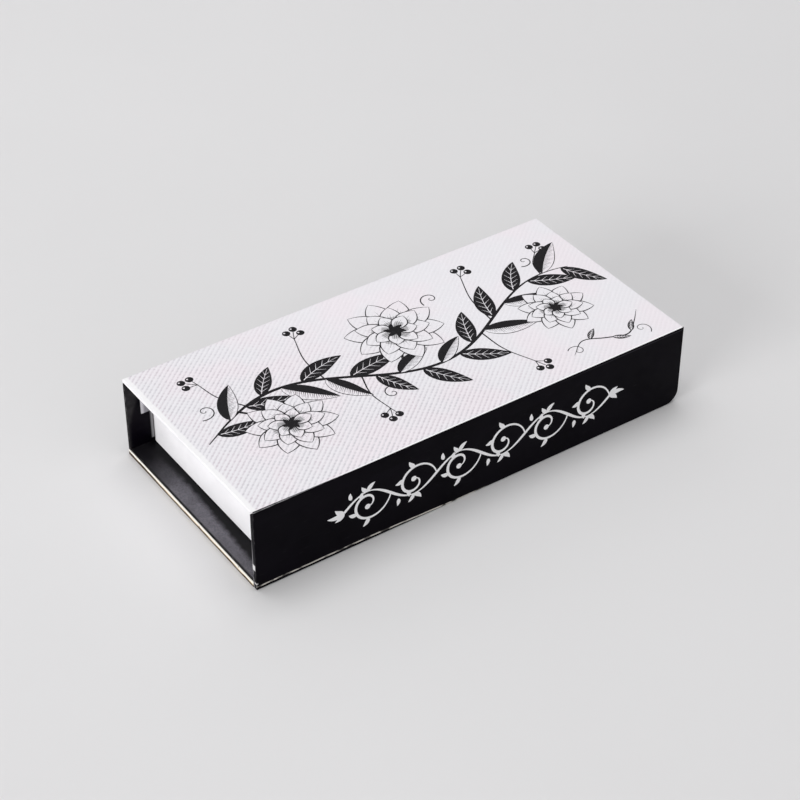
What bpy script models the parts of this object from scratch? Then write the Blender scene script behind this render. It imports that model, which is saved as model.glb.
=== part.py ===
"""Eyeshadow box: a wrapped board case with a hinged lid, a closing flap and a tray of pressed powders.

Metres, +Z up. The origin is on the table under the middle of the case, and the front is at -Y.
"""

import math

import bmesh
import bpy
from mathutils import Matrix, Vector

# Case: base, spine, lid and flap
CASE_LENGTH = 0.190
CASE_DEPTH = 0.0914
CASE_HEIGHT = 0.0350
BOARD = 0.0021
LID_BOARD = 0.0014
SPINE_BOARD = 0.0010
PAPER = 0.0003
GAP = 0.0003
BOARD_ROUNDING = 0.00035
FLAP_LAND = 0.0006
FLAP_WORN_RADIUS = 0.0055
BASE_WORN_RADIUS = 0.0035
LINER_INSET = 0.0058
BASE_LINER_INSET = 0.0006
SPINE_STRIP_HEIGHT = 0.0153

# Tray
TRAY_END_RECESS = 0.0103
TRAY_WALL = 0.0020
TRAY_ROUNDING = 0.00030

# Pan deck and what carries it
DECK_LEVEL = 0.0200
DECK_THICKNESS = 0.0045
PAN_BED_THICKNESS = 0.0018
WELL_WALL_THICKNESS = 0.0020
RISER_WIDTH = 0.0040
BRUSH_WELL_WIDTH = 0.0138
BRUSH_BED_THICKNESS = 0.0020

# Pans and powders, which share out the deck
PAN_COLUMN_COUNT = 5
PAN_ROW_COUNT = 2
PAN_WEB = 0.0063
PAN_HEIGHT = 0.0042
PAN_WALL = 0.0005
POWDER_CROWN = 0.0005
POWDER_EDGE_ROUNDING = 0.0006
POWDER_FLAT_SHARE = 0.7

# Mirror
MIRROR_THICKNESS = 0.0012
MIRROR_FRAME_WIDTH = 0.0050
MIRROR_END_CLEARANCE = 0.0037
MIRROR_SIDE_CLEARANCE = 0.0051
MIRROR_CORNER_RADIUS = 0.0020

# Magnets and the steel discs they pull on
MAGNET_RADIUS = 0.0050
MAGNET_THICKNESS = 0.0012
STRIKE_THICKNESS = 0.0008
MAGNET_INSET = 0.0227

# Double-ended brush
BRUSH_END_CLEARANCE = 0.0077
HANDLE_BELLY_RADIUS = 0.0034
TENON_CLEARANCE = 0.0003
FERRULE_WALL = 0.0004
HAIR_FERRULE_LENGTH = 0.0160
HAIR_FERRULE_RADIUS = 0.0031
HAIR_LENGTH = 0.0140
HAIR_RADIUS = 0.0040
SPONGE_FERRULE_LENGTH = 0.0120
SPONGE_FERRULE_RADIUS = 0.0026
SPONGE_LENGTH = 0.0120
SPONGE_RADIUS = 0.0030
TENON_LENGTH = 0.0050

# Fineness
ROUND_STEPS = 32
SLIM_STEPS = 20
ARC_STEPS = 8
PROFILE_STEPS = 8
EDGE_SEGMENTS = 2
MERGE = 0.000001
CREASE_DEGREES = 40
CUT_OVERRUN = 0.0020

# Outline of the handle as shares of its length and of the step from a ferrule's radius to the belly's
HANDLE_RISE_SHARES = ((0.0, 0.0), (0.14, 0.55), (0.32, 1.0))
HANDLE_FALL_SHARES = ((0.50, 0.92), (0.78, 0.40), (1.0, 0.0))
# Outline of the hair and the sponge as shares of their length and of the step from root to widest
TUFT_SHARES = ((0.0, 0.0), (0.25, 0.55), (0.50, 0.92), (0.68, 1.0))

# Levels, from the table up
BASE_LINER_LEVEL = BOARD + GAP
TRAY_LEVEL = BASE_LINER_LEVEL + PAPER + GAP
FLOOR_LEVEL = TRAY_LEVEL + TRAY_WALL
LID_LEVEL = CASE_HEIGHT - LID_BOARD
LID_LINER_LEVEL = LID_LEVEL - GAP - PAPER
TRAY_RIM = LID_LINER_LEVEL - GAP
MIRROR_LEVEL = LID_LINER_LEVEL - GAP - MIRROR_THICKNESS
SPINE_TOP = LID_LEVEL - GAP
DECK_BOTTOM = DECK_LEVEL - DECK_THICKNESS
PAN_BED_BOTTOM = DECK_BOTTOM - GAP - PAN_BED_THICKNESS
RISER_TOP = PAN_BED_BOTTOM - GAP
FIRST_SEAT = FLOOR_LEVEL + GAP
BRUSH_BED_LEVEL = FIRST_SEAT + BRUSH_BED_THICKNESS

# Planes across the depth, from front to back
FRONT = -CASE_DEPTH / 2
BACK = CASE_DEPTH / 2
FLAP_INNER = FRONT + BOARD
FLAP_LINER_FRONT = FLAP_INNER + GAP
TRAY_FRONT = FLAP_LINER_FRONT + PAPER + GAP
SPINE_INNER = BACK - SPINE_BOARD
SPINE_STRIP_BACK = SPINE_INNER - GAP
TRAY_BACK = SPINE_STRIP_BACK - PAPER - GAP
LID_TOP_FRONT = FRONT + FLAP_LAND + GAP * math.sqrt(2)
LID_UNDER_FRONT = LID_TOP_FRONT + LID_BOARD
INSIDE_FRONT = TRAY_FRONT + TRAY_WALL
INSIDE_BACK = TRAY_BACK - TRAY_WALL
WELL_WALL_FRONT = INSIDE_FRONT + BRUSH_WELL_WIDTH
DECK_FRONT = WELL_WALL_FRONT + WELL_WALL_THICKNESS + GAP
DECK_BACK = INSIDE_BACK - GAP
DECK_MIDDLE = (DECK_FRONT + DECK_BACK) / 2
MIRROR_WIDTH = INSIDE_BACK - INSIDE_FRONT - 2 * (MIRROR_FRAME_WIDTH + MIRROR_SIDE_CLEARANCE)

# Planes along the length, measured from the middle
HALF_LENGTH = CASE_LENGTH / 2
TRAY_END = HALF_LENGTH - TRAY_END_RECESS
INSIDE_END = TRAY_END - TRAY_WALL
FITTED_END = INSIDE_END - GAP
MIRROR_LENGTH = 2 * (INSIDE_END - MIRROR_FRAME_WIDTH - MIRROR_END_CLEARANCE)
BRUSH_LENGTH = 2 * (INSIDE_END - BRUSH_END_CLEARANCE)
HANDLE_LENGTH = BRUSH_LENGTH - SPONGE_LENGTH - SPONGE_FERRULE_LENGTH - HAIR_FERRULE_LENGTH - HAIR_LENGTH

# Pitches of the pans, and their radius, which leaves the web between two holes
PAN_COLUMN_PITCH = 2 * FITTED_END / PAN_COLUMN_COUNT
PAN_ROW_PITCH = (DECK_BACK - DECK_FRONT) / PAN_ROW_COUNT
PAN_RADIUS = (min(PAN_COLUMN_PITCH, PAN_ROW_PITCH) - PAN_WEB) / 2 - GAP

# Joint axes
LID_AXIS = Vector((0, BACK + GAP / 2, SPINE_TOP + GAP / 2))
FLAP_AXIS = Vector((0, FRONT, CASE_HEIGHT))
BRUSH_AXIS = Vector((0, (INSIDE_FRONT + WELL_WALL_FRONT) / 2, BRUSH_BED_LEVEL + GAP + HAIR_RADIUS))

# Colours, roughness and metallic value of each material
MATERIALS = {
    "white_ribbed_paper": ((0.83, 0.81, 0.84), 0.60, 0.0),
    "black_coated_paper": ((0.012, 0.011, 0.014), 0.38, 0.0),
    "pale_edge_paper": ((0.80, 0.77, 0.72), 0.65, 0.0),
    "black_glossy_paper": ((0.020, 0.019, 0.023), 0.25, 0.0),
    "white_smooth_paper": ((0.86, 0.86, 0.87), 0.50, 0.0),
    "black_foam": ((0.030, 0.030, 0.032), 0.90, 0.0),
    "grey_board": ((0.42, 0.40, 0.37), 0.85, 0.0),
    "tinned_steel": ((0.62, 0.62, 0.63), 0.28, 1.0),
    "mirror_glass": ((0.90, 0.91, 0.92), 0.03, 1.0),
    "magnet_nickel": ((0.55, 0.55, 0.56), 0.25, 1.0),
    "black_lacquer": ((0.015, 0.015, 0.017), 0.15, 0.0),
    "rose_ferrule": ((0.86, 0.60, 0.52), 0.20, 1.0),
    "brown_hair": ((0.16, 0.09, 0.06), 0.75, 0.0),
    "white_sponge": ((0.85, 0.82, 0.78), 0.95, 0.0),
}
POWDER_COLOURS = (
    (0.83, 0.68, 0.58),
    (0.72, 0.44, 0.34),
    (0.55, 0.25, 0.18),
    (0.36, 0.16, 0.12),
    (0.14, 0.07, 0.06),
    (0.87, 0.74, 0.70),
    (0.70, 0.38, 0.38),
    (0.48, 0.20, 0.26),
    (0.40, 0.30, 0.33),
    (0.06, 0.055, 0.06),
)
POWDER_ROUGHNESS = 0.70


def clear_scene():
    for obj in list(bpy.data.objects):
        bpy.data.objects.remove(obj)


def new_collection(name):
    collection = bpy.data.collections.new(name)
    bpy.context.scene.collection.children.link(collection)
    return collection


def make_material(name, colour, roughness, metallic):
    material = bpy.data.materials.new(name)
    material.use_nodes = True
    shader = material.node_tree.nodes["Principled BSDF"]
    shader.inputs["Base Color"].default_value = (*colour, 1)
    shader.inputs["Roughness"].default_value = roughness
    shader.inputs["Metallic"].default_value = metallic
    material.diffuse_color = (*colour, 1)
    return material


def named_material(name):
    return bpy.data.materials.get(name) or make_material(name, *MATERIALS[name])


def add_object(name, mesh, centre, parent=None, material=None):
    """Places a mesh in the part's collection, at a world position, under its joint's empty."""
    obj = bpy.data.objects.new(name, mesh)
    PARTS.objects.link(obj)
    obj.parent = parent
    obj.location = centre - (parent_place(parent) if parent else Vector())
    if material:
        mesh.materials.clear()
        mesh.materials.append(material)
    return obj


def parent_place(parent):
    """World position of an empty, which may itself hang from another one."""
    place = parent.location.copy()
    return place + parent_place(parent.parent) if parent.parent else place


def add_empty(name, place, parent=None):
    empty = bpy.data.objects.new(name, None)
    PARTS.objects.link(empty)
    empty.parent = parent
    empty.location = place - (parent_place(parent) if parent else Vector())
    return empty


def box_mesh(name, size):
    mesh = bpy.data.meshes.new(name)
    shape = bmesh.new()
    bmesh.ops.create_cube(shape, size=1, matrix=Matrix.Diagonal((*size, 1)))
    shape.to_mesh(mesh)
    shape.free()
    return mesh


def add_box(name, low, high, material, parent=None, rounding=0):
    """A block between two opposite corners, given in world positions."""
    low = Vector(low)
    high = Vector(high)
    obj = add_object(name, box_mesh(name, high - low), (low + high) / 2, parent, named_material(material))
    if rounding:
        round_edges(obj, rounding)
    return obj


def round_edges(obj, width):
    bevel = obj.modifiers.new("rounding", "BEVEL")
    bevel.width = width
    bevel.segments = EDGE_SEGMENTS
    bevel.limit_method = "ANGLE"
    bevel.harden_normals = True


def outline_mesh(name, outlines, thickness, turn):
    """A flat plate from closed outlines, the first outside and the rest holes, turned into its plane."""
    curve = bpy.data.curves.new(name, "CURVE")
    curve.dimensions = "2D"
    curve.fill_mode = "BOTH"
    curve.extrude = thickness / 2
    for points in outlines:
        spline = curve.splines.new("POLY")
        spline.points.add(len(points) - 1)
        for point, (x, y) in zip(spline.points, points):
            point.co = (x, y, 0, 1)
        spline.use_cyclic_u = True
    guide = bpy.data.objects.new(name, curve)
    PARTS.objects.link(guide)
    graph = bpy.context.evaluated_depsgraph_get()
    mesh = bpy.data.meshes.new_from_object(guide.evaluated_get(graph))
    bpy.data.objects.remove(guide)
    shape = bmesh.new()
    shape.from_mesh(mesh)
    bmesh.ops.remove_doubles(shape, verts=shape.verts, dist=MERGE)
    bmesh.ops.transform(shape, matrix=turn, verts=shape.verts)
    bmesh.ops.recalc_face_normals(shape, faces=shape.faces)
    shape.to_mesh(mesh)
    shape.free()
    return mesh


def rectangle(low, high, radii=(0, 0, 0, 0)):
    """Corners of a rectangle anticlockwise from the low one, each with its own radius."""
    corners = ((low[0], low[1]), (high[0], low[1]), (high[0], high[1]), (low[0], high[1]))
    inward = ((1, 1), (-1, 1), (-1, -1), (1, -1))
    points = []
    for index, ((x, y), (side_x, side_y), radius) in enumerate(zip(corners, inward, radii)):
        if not radius:
            points.append((x, y))
            continue
        start = math.pi + index * math.pi / 2
        for step in range(ARC_STEPS + 1):
            angle = start + step / ARC_STEPS * math.pi / 2
            centre = (x + side_x * radius, y + side_y * radius)
            points.append((centre[0] + radius * math.cos(angle), centre[1] + radius * math.sin(angle)))
    return points


def circle(x, y, radius):
    turns = [2 * math.pi * step / ROUND_STEPS for step in range(ROUND_STEPS)]
    return [(x + radius * math.cos(turn), y + radius * math.sin(turn)) for turn in turns]


def turned_mesh_object(name, profile, closed, steps, centre, material, parent=None, along_x=False):
    """A turned piece from its half profile of (radius, height), run down the outer side."""
    mesh = bpy.data.meshes.new(name)
    shape = bmesh.new()
    points = [shape.verts.new((radius, 0, height)) for radius, height in profile]
    for first, second in zip(points, points[1:]):
        shape.edges.new((first, second))
    if closed:
        shape.edges.new((points[-1], points[0]))
    shape.to_mesh(mesh)
    shape.free()
    obj = add_object(name, mesh, centre, parent, material)
    if along_x:
        obj.rotation_euler = (0, math.pi / 2, 0)
    screw = obj.modifiers.new("turning", "SCREW")
    screw.steps = steps
    screw.render_steps = steps
    screw.use_merge_vertices = True
    screw.merge_threshold = MERGE
    settle(obj)
    return obj


def settle(obj):
    """Takes the modifiers' result as the mesh, so that it can be shaded smooth up to its creases."""
    graph = bpy.context.evaluated_depsgraph_get()
    mesh = bpy.data.meshes.new_from_object(obj.evaluated_get(graph))
    obj.modifiers.clear()
    obj.data = mesh
    mesh.shade_smooth()
    mesh.set_sharp_from_angle(angle=math.radians(CREASE_DEGREES))


def cutter_object(name, mesh, centre):
    cutter = bpy.data.objects.new(name, mesh)
    CUTTERS.objects.link(cutter)
    cutter.location = centre
    cutter.display_type = "WIRE"
    cutter.hide_render = True
    return cutter


def cut(obj, cutter):
    boolean = obj.modifiers.new(cutter.name, "BOOLEAN")
    boolean.operation = "DIFFERENCE"
    boolean.object = cutter


def disc_mesh(name, radius, thickness):
    """A short cylinder with its axis along Y."""
    mesh = bpy.data.meshes.new(name)
    shape = bmesh.new()
    bmesh.ops.create_cone(
        shape,
        cap_ends=True,
        segments=ROUND_STEPS,
        radius1=radius,
        radius2=radius,
        depth=thickness,
        matrix=Matrix.Rotation(math.pi / 2, 4, "X"),
    )
    shape.to_mesh(mesh)
    shape.free()
    return mesh


UPRIGHT = Matrix.Rotation(math.pi / 2, 4, "X")
ACROSS = Matrix.Rotation(math.pi / 2, 4, "Z") @ Matrix.Rotation(math.pi / 2, 4, "X")
FLAT = Matrix.Identity(4)


def magnet_places():
    """Name, place along the length and height of each magnet and of the disc that it pulls on."""
    place = INSIDE_END - MAGNET_INSET
    level = (TRAY_LEVEL + TRAY_RIM) / 2
    return (("left", -place, level), ("right", place, level))


def make_base():
    low = (-HALF_LENGTH, FLAP_INNER + GAP)
    high = (HALF_LENGTH, BACK)
    outline = rectangle(low, high, (0, BASE_WORN_RADIUS, 0, 0))
    mesh = outline_mesh("base_board", [outline], BOARD, FLAT)
    base = add_object("base_board", mesh, Vector((0, 0, BOARD / 2)), None, named_material("pale_edge_paper"))
    round_edges(base, BOARD_ROUNDING)
    inset = HALF_LENGTH - BASE_LINER_INSET
    add_box(
        "base_liner",
        (-inset, TRAY_FRONT, BASE_LINER_LEVEL),
        (inset, SPINE_INNER - GAP, BASE_LINER_LEVEL + PAPER),
        "black_glossy_paper",
    )


def make_spine():
    add_box(
        "spine_board",
        (-HALF_LENGTH, SPINE_INNER, BOARD + GAP),
        (HALF_LENGTH, BACK, SPINE_TOP),
        "black_coated_paper",
        rounding=BOARD_ROUNDING,
    )
    inset = HALF_LENGTH - LINER_INSET
    add_box(
        "spine_strip",
        (-inset, SPINE_STRIP_BACK - PAPER, TRAY_RIM - SPINE_STRIP_HEIGHT),
        (inset, SPINE_STRIP_BACK, TRAY_RIM),
        "white_smooth_paper",
    )


def make_lid(axis):
    """The lid's front edge is mitred against the flap, so that its white top reaches the front."""
    profile = [
        (LID_UNDER_FRONT, LID_LEVEL),
        (BACK, LID_LEVEL),
        (BACK, CASE_HEIGHT),
        (LID_TOP_FRONT, CASE_HEIGHT),
    ]
    mesh = outline_mesh("lid_board", [profile], CASE_LENGTH, ACROSS)
    lid = add_object("lid_board", mesh, Vector(), axis, named_material("white_ribbed_paper"))
    round_edges(lid, BOARD_ROUNDING)
    inset = HALF_LENGTH - LINER_INSET
    add_box(
        "lid_liner",
        (-inset, LID_UNDER_FRONT + GAP, LID_LINER_LEVEL),
        (inset, SPINE_STRIP_BACK, LID_LINER_LEVEL + PAPER),
        "white_smooth_paper",
        axis,
    )


def make_mirror(axis):
    middle = (INSIDE_FRONT + INSIDE_BACK) / 2
    centre = Vector((0, middle, MIRROR_LEVEL + MIRROR_THICKNESS / 2))
    half = Vector((MIRROR_LENGTH / 2, MIRROR_WIDTH / 2))
    outer = half + Vector((MIRROR_FRAME_WIDTH, MIRROR_FRAME_WIDTH))
    hole = half + Vector((GAP, GAP))
    rounded = (MIRROR_CORNER_RADIUS,) * 4
    outlines = [rectangle(-outer, outer, rounded), rectangle(-hole, hole)]
    frame = outline_mesh("mirror_frame", outlines, MIRROR_THICKNESS, FLAT)
    add_object("mirror_frame", frame, centre, axis, named_material("black_coated_paper"))
    add_object(
        "mirror",
        box_mesh("mirror", (MIRROR_LENGTH, MIRROR_WIDTH, MIRROR_THICKNESS)),
        centre,
        axis,
        named_material("mirror_glass"),
    )


def make_flap(axis):
    low = (-HALF_LENGTH, GAP)
    high = (HALF_LENGTH, CASE_HEIGHT)
    outline = rectangle(low, high, (0, FLAP_WORN_RADIUS, 0, 0))
    mesh = outline_mesh("flap_board", [outline], BOARD, UPRIGHT)
    centre = Vector((0, FRONT + BOARD / 2, 0))
    flap = add_object("flap_board", mesh, centre, axis, named_material("black_coated_paper"))
    round_edges(flap, BOARD_ROUNDING)
    cut(flap, mitre_cutter())
    for side, x, level in magnet_places():
        depth = MAGNET_THICKNESS + GAP
        pocket = disc_mesh("magnet_pocket", MAGNET_RADIUS + GAP, depth + CUT_OVERRUN)
        middle = FLAP_INNER - depth + (depth + CUT_OVERRUN) / 2
        cut(flap, cutter_object("magnet_pocket_" + side, pocket, Vector((x, middle, level))))
        place = Vector((x, FLAP_INNER - MAGNET_THICKNESS / 2, level))
        disc = disc_mesh("magnet_" + side, MAGNET_RADIUS, MAGNET_THICKNESS)
        add_object("magnet_" + side, disc, place, axis, named_material("magnet_nickel"))
    inset = HALF_LENGTH - LINER_INSET
    add_box(
        "flap_liner",
        (-inset, FLAP_LINER_FRONT, TRAY_LEVEL),
        (inset, FLAP_LINER_FRONT + PAPER, TRAY_RIM),
        "black_coated_paper",
        axis,
    )


def mitre_cutter():
    """A long wedge that takes the flap's top inner edge off at 45 degrees."""
    reach = BOARD - FLAP_LAND + CUT_OVERRUN
    rise = CUT_OVERRUN
    start = FRONT + FLAP_LAND
    wedge = [
        (start - rise, CASE_HEIGHT + rise),
        (start + reach, CASE_HEIGHT - reach),
        (start + reach, CASE_HEIGHT + rise),
    ]
    mesh = outline_mesh("mitre", [wedge], CASE_LENGTH + CUT_OVERRUN, ACROSS)
    return cutter_object("flap_mitre", mesh, Vector())


def make_tray():
    walls = []
    for name, near, far in (
        ("tray_front_wall", TRAY_FRONT, INSIDE_FRONT),
        ("tray_back_wall", INSIDE_BACK, TRAY_BACK),
    ):
        low = (-FITTED_END, near, TRAY_LEVEL)
        high = (FITTED_END, far, TRAY_RIM)
        walls.append(add_box(name, low, high, "white_smooth_paper", rounding=TRAY_ROUNDING))
    add_strike_discs(walls[0])
    for name, side in (("tray_left_wall", -1), ("tray_right_wall", 1)):
        ends = sorted((side * INSIDE_END, side * TRAY_END))
        add_box(
            name,
            (ends[0], TRAY_FRONT, TRAY_LEVEL),
            (ends[1], TRAY_BACK, TRAY_RIM),
            "white_smooth_paper",
            rounding=TRAY_ROUNDING,
        )
    add_box(
        "tray_floor",
        (-FITTED_END, INSIDE_FRONT + GAP, TRAY_LEVEL),
        (FITTED_END, INSIDE_BACK - GAP, FLOOR_LEVEL),
        "white_smooth_paper",
    )


def add_strike_discs(wall):
    for side, x, level in magnet_places():
        depth = STRIKE_THICKNESS + GAP
        pocket = disc_mesh("strike_pocket", MAGNET_RADIUS + GAP, depth + CUT_OVERRUN)
        middle = TRAY_FRONT + depth - (depth + CUT_OVERRUN) / 2
        cut(wall, cutter_object("strike_pocket_" + side, pocket, Vector((x, middle, level))))
        place = Vector((x, TRAY_FRONT + STRIKE_THICKNESS / 2, level))
        disc = disc_mesh("strike_disc_" + side, MAGNET_RADIUS, STRIKE_THICKNESS)
        add_object("strike_disc_" + side, disc, place, None, named_material("tinned_steel"))


def make_deck():
    add_box(
        "well_wall",
        (-FITTED_END, WELL_WALL_FRONT, FIRST_SEAT),
        (FITTED_END, WELL_WALL_FRONT + WELL_WALL_THICKNESS, DECK_LEVEL),
        "black_coated_paper",
    )
    add_box(
        "brush_bed",
        (-FITTED_END, INSIDE_FRONT + GAP, FIRST_SEAT),
        (FITTED_END, WELL_WALL_FRONT - GAP, BRUSH_BED_LEVEL),
        "black_foam",
    )
    for name, near in (("riser_front", DECK_FRONT), ("riser_back", DECK_BACK - RISER_WIDTH)):
        add_box(
            name,
            (-FITTED_END, near, FIRST_SEAT),
            (FITTED_END, near + RISER_WIDTH, RISER_TOP),
            "grey_board",
        )
    add_box(
        "pan_bed",
        (-FITTED_END, DECK_FRONT, PAN_BED_BOTTOM),
        (FITTED_END, DECK_BACK, PAN_BED_BOTTOM + PAN_BED_THICKNESS),
        "grey_board",
    )
    low = (-FITTED_END, DECK_FRONT)
    high = (FITTED_END, DECK_BACK)
    holes = [circle(x, y, PAN_RADIUS + GAP) for x, y in pan_places()]
    mesh = outline_mesh("pan_deck", [rectangle(low, high), *holes], DECK_THICKNESS, FLAT)
    centre = Vector((0, 0, DECK_LEVEL - DECK_THICKNESS / 2))
    add_object("pan_deck", mesh, centre, None, named_material("black_foam"))


def spread(count, pitch):
    """Evenly spaced places about zero."""
    return [(index - (count - 1) / 2) * pitch for index in range(count)]


def pan_places():
    """Middles of the pans, the back row first, left to right."""
    rows = [DECK_MIDDLE - y for y in spread(PAN_ROW_COUNT, PAN_ROW_PITCH)]
    return [(x, y) for y in rows for x in spread(PAN_COLUMN_COUNT, PAN_COLUMN_PITCH)]


def pan_profile():
    inner = PAN_RADIUS - PAN_WALL
    return [
        (0, PAN_WALL),
        (inner, PAN_WALL),
        (inner, PAN_HEIGHT),
        (PAN_RADIUS, PAN_HEIGHT),
        (PAN_RADIUS, 0),
        (0, 0),
    ]


def powder_profile():
    radius = PAN_RADIUS - PAN_WALL - GAP
    bottom = PAN_WALL + GAP
    shoulder = PAN_HEIGHT - GAP - POWDER_CROWN
    return [
        (0, shoulder + POWDER_CROWN),
        (radius * POWDER_FLAT_SHARE, shoulder + POWDER_CROWN * POWDER_FLAT_SHARE),
        (radius - POWDER_EDGE_ROUNDING, shoulder),
        (radius, shoulder - POWDER_EDGE_ROUNDING),
        (radius, bottom),
        (0, bottom),
    ]


def make_pans():
    for index, (x, y) in enumerate(pan_places()):
        number = f"{index + 1:02d}"
        seat = Vector((x, y, DECK_BOTTOM))
        steel = named_material("tinned_steel")
        turned_mesh_object("pan_" + number, pan_profile(), False, ROUND_STEPS, seat, steel)
        colour = POWDER_COLOURS[index % len(POWDER_COLOURS)]
        powder = make_material("powder_colour_" + number, colour, POWDER_ROUGHNESS, 0)
        turned_mesh_object("powder_" + number, powder_profile(), False, ROUND_STEPS, seat, powder)


def brush_stations():
    """Places along the brush, from the sponge's tip to the hair's tip, with the middle at zero."""
    lengths = (SPONGE_LENGTH, SPONGE_FERRULE_LENGTH, HANDLE_LENGTH, HAIR_FERRULE_LENGTH, HAIR_LENGTH)
    stations = [-sum(lengths) / 2]
    for length in lengths:
        stations.append(stations[-1] + length)
    return stations


def tube_profile(radius, low, high):
    inner = radius - FERRULE_WALL
    return [(inner, low), (inner, high), (radius, high), (radius, low)]


def tuft_profile(root, widest, length):
    """Half profile from the rounded tip to the root's bottom end, which sits inside the ferrule."""
    rise = [(root + (widest - root) * across, length * along) for along, across in TUFT_SHARES]
    dome_start = rise[-1][1]
    dome = []
    for step in range(1, PROFILE_STEPS + 1):
        angle = step / PROFILE_STEPS * math.pi / 2
        height = dome_start + (length - dome_start) * math.sin(angle)
        dome.append((widest * math.cos(angle) if step < PROFILE_STEPS else 0, height))
    upward = [(0, -TENON_LENGTH), (root, -TENON_LENGTH), *rise, *dome]
    return upward[::-1]


def handle_side(end_radius, shares, length):
    step = HANDLE_BELLY_RADIUS - end_radius
    return [(end_radius + step * across, length * along) for along, across in shares]


def make_brush(axis):
    stations = brush_stations()
    sponge_tip, sponge_ferrule, handle, hair_ferrule, hair, _ = stations
    hair_tenon = HAIR_FERRULE_RADIUS - FERRULE_WALL - TENON_CLEARANCE
    sponge_tenon = SPONGE_FERRULE_RADIUS - FERRULE_WALL - TENON_CLEARANCE

    def add_turned(name, profile, closed, place, material, turned_back=False):
        centre = BRUSH_AXIS + Vector((place, 0, 0))
        shade = named_material(material)
        obj = turned_mesh_object(name, profile, closed, SLIM_STEPS, centre, shade, axis, along_x=True)
        if turned_back:
            obj.rotation_euler = (0, -math.pi / 2, 0)

    start = handle + GAP
    length = hair_ferrule - handle - GAP * 2
    body = handle_side(SPONGE_FERRULE_RADIUS, HANDLE_RISE_SHARES, length)
    body += handle_side(HAIR_FERRULE_RADIUS, HANDLE_FALL_SHARES, length)
    upward = [
        (0, -TENON_LENGTH),
        (sponge_tenon, -TENON_LENGTH),
        (sponge_tenon, 0),
        *body,
        (hair_tenon, length),
        (hair_tenon, length + TENON_LENGTH),
        (0, length + TENON_LENGTH),
    ]
    add_turned("brush_handle", upward[::-1], False, start, "black_lacquer")
    tube = tube_profile(HAIR_FERRULE_RADIUS, 0, HAIR_FERRULE_LENGTH)
    add_turned("hair_ferrule", tube, True, hair_ferrule, "rose_ferrule")
    tuft = tuft_profile(hair_tenon, HAIR_RADIUS, HAIR_LENGTH)
    add_turned("hair_tuft", tuft, False, hair, "brown_hair")
    tube = tube_profile(SPONGE_FERRULE_RADIUS, 0, SPONGE_FERRULE_LENGTH)
    add_turned("sponge_ferrule", tube, True, sponge_ferrule, "rose_ferrule")
    foam = tuft_profile(sponge_tenon, SPONGE_RADIUS, SPONGE_LENGTH)
    add_turned("sponge_tip", foam, False, sponge_ferrule, "white_sponge", turned_back=True)


clear_scene()
PARTS = new_collection("eyeshadow_box")
CUTTERS = new_collection("cutters")
lid_axis = add_empty("lid_axis", LID_AXIS)
flap_axis = add_empty("flap_axis", FLAP_AXIS, lid_axis)
brush_axis = add_empty("brush_axis", BRUSH_AXIS)
make_base()
make_spine()
make_lid(lid_axis)
make_mirror(lid_axis)
make_flap(flap_axis)
make_tray()
make_deck()
make_pans()
make_brush(brush_axis)
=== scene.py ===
import math
import random

import bmesh
import bpy
import numpy as np
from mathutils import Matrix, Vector


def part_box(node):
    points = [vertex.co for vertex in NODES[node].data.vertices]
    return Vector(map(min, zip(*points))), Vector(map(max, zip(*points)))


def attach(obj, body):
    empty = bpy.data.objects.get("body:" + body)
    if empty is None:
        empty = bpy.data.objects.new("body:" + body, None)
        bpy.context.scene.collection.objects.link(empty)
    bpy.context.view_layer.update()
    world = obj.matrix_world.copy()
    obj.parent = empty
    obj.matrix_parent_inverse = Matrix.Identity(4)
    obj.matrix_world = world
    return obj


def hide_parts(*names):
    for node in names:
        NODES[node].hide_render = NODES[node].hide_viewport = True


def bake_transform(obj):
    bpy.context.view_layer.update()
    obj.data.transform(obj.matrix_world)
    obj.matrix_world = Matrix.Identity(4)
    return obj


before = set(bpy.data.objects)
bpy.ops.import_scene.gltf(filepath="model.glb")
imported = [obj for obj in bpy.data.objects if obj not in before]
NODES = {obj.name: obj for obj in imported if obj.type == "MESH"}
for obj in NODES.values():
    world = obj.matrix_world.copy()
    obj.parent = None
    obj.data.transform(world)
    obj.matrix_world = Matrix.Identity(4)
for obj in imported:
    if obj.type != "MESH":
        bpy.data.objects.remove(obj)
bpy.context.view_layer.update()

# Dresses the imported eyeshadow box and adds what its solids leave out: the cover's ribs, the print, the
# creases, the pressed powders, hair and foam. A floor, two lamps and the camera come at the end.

MM = 0.001
TURN = 2 * math.pi

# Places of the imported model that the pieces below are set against
LID_LOW, LID_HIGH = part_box("lid_board")
FLAP_LOW, FLAP_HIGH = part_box("flap_board")
SPINE_LOW, SPINE_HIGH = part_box("spine_board")
HALF = LID_HIGH.x
TOP = LID_HIGH.z
FRONT = FLAP_LOW.y
BACK = SPINE_HIGH.y
LID_HINGE = LID_LOW.z - 0.15 * MM

# Embossed ribs of the lid's paper: cycles per metre along X and Y, the fainter ribs across them, and their height
RIB_WAVE = (380.0, -452.0)
CROSS_WAVE = (392.0, 432.0)
CROSS_SHARE = 0.34
RIB_HEIGHT = 0.016 * MM
RIB_LEVEL = 0.035 * MM
RIB_STEPS = 6

# The ribs start over a band beside the lid's left end, and fade as x + y grows
BORDER = (-HALF + 1.7 * MM, -HALF + 2.5 * MM)
FADE = (-50 * MM, 45 * MM)
FADED = 0.12

# Cover sheet: how far it stays in from the lid's ends and back edge, and from its front edge
SHEET_INSET = 0.40 * MM
SHEET_FRONT_INSET = 0.35 * MM

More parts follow.
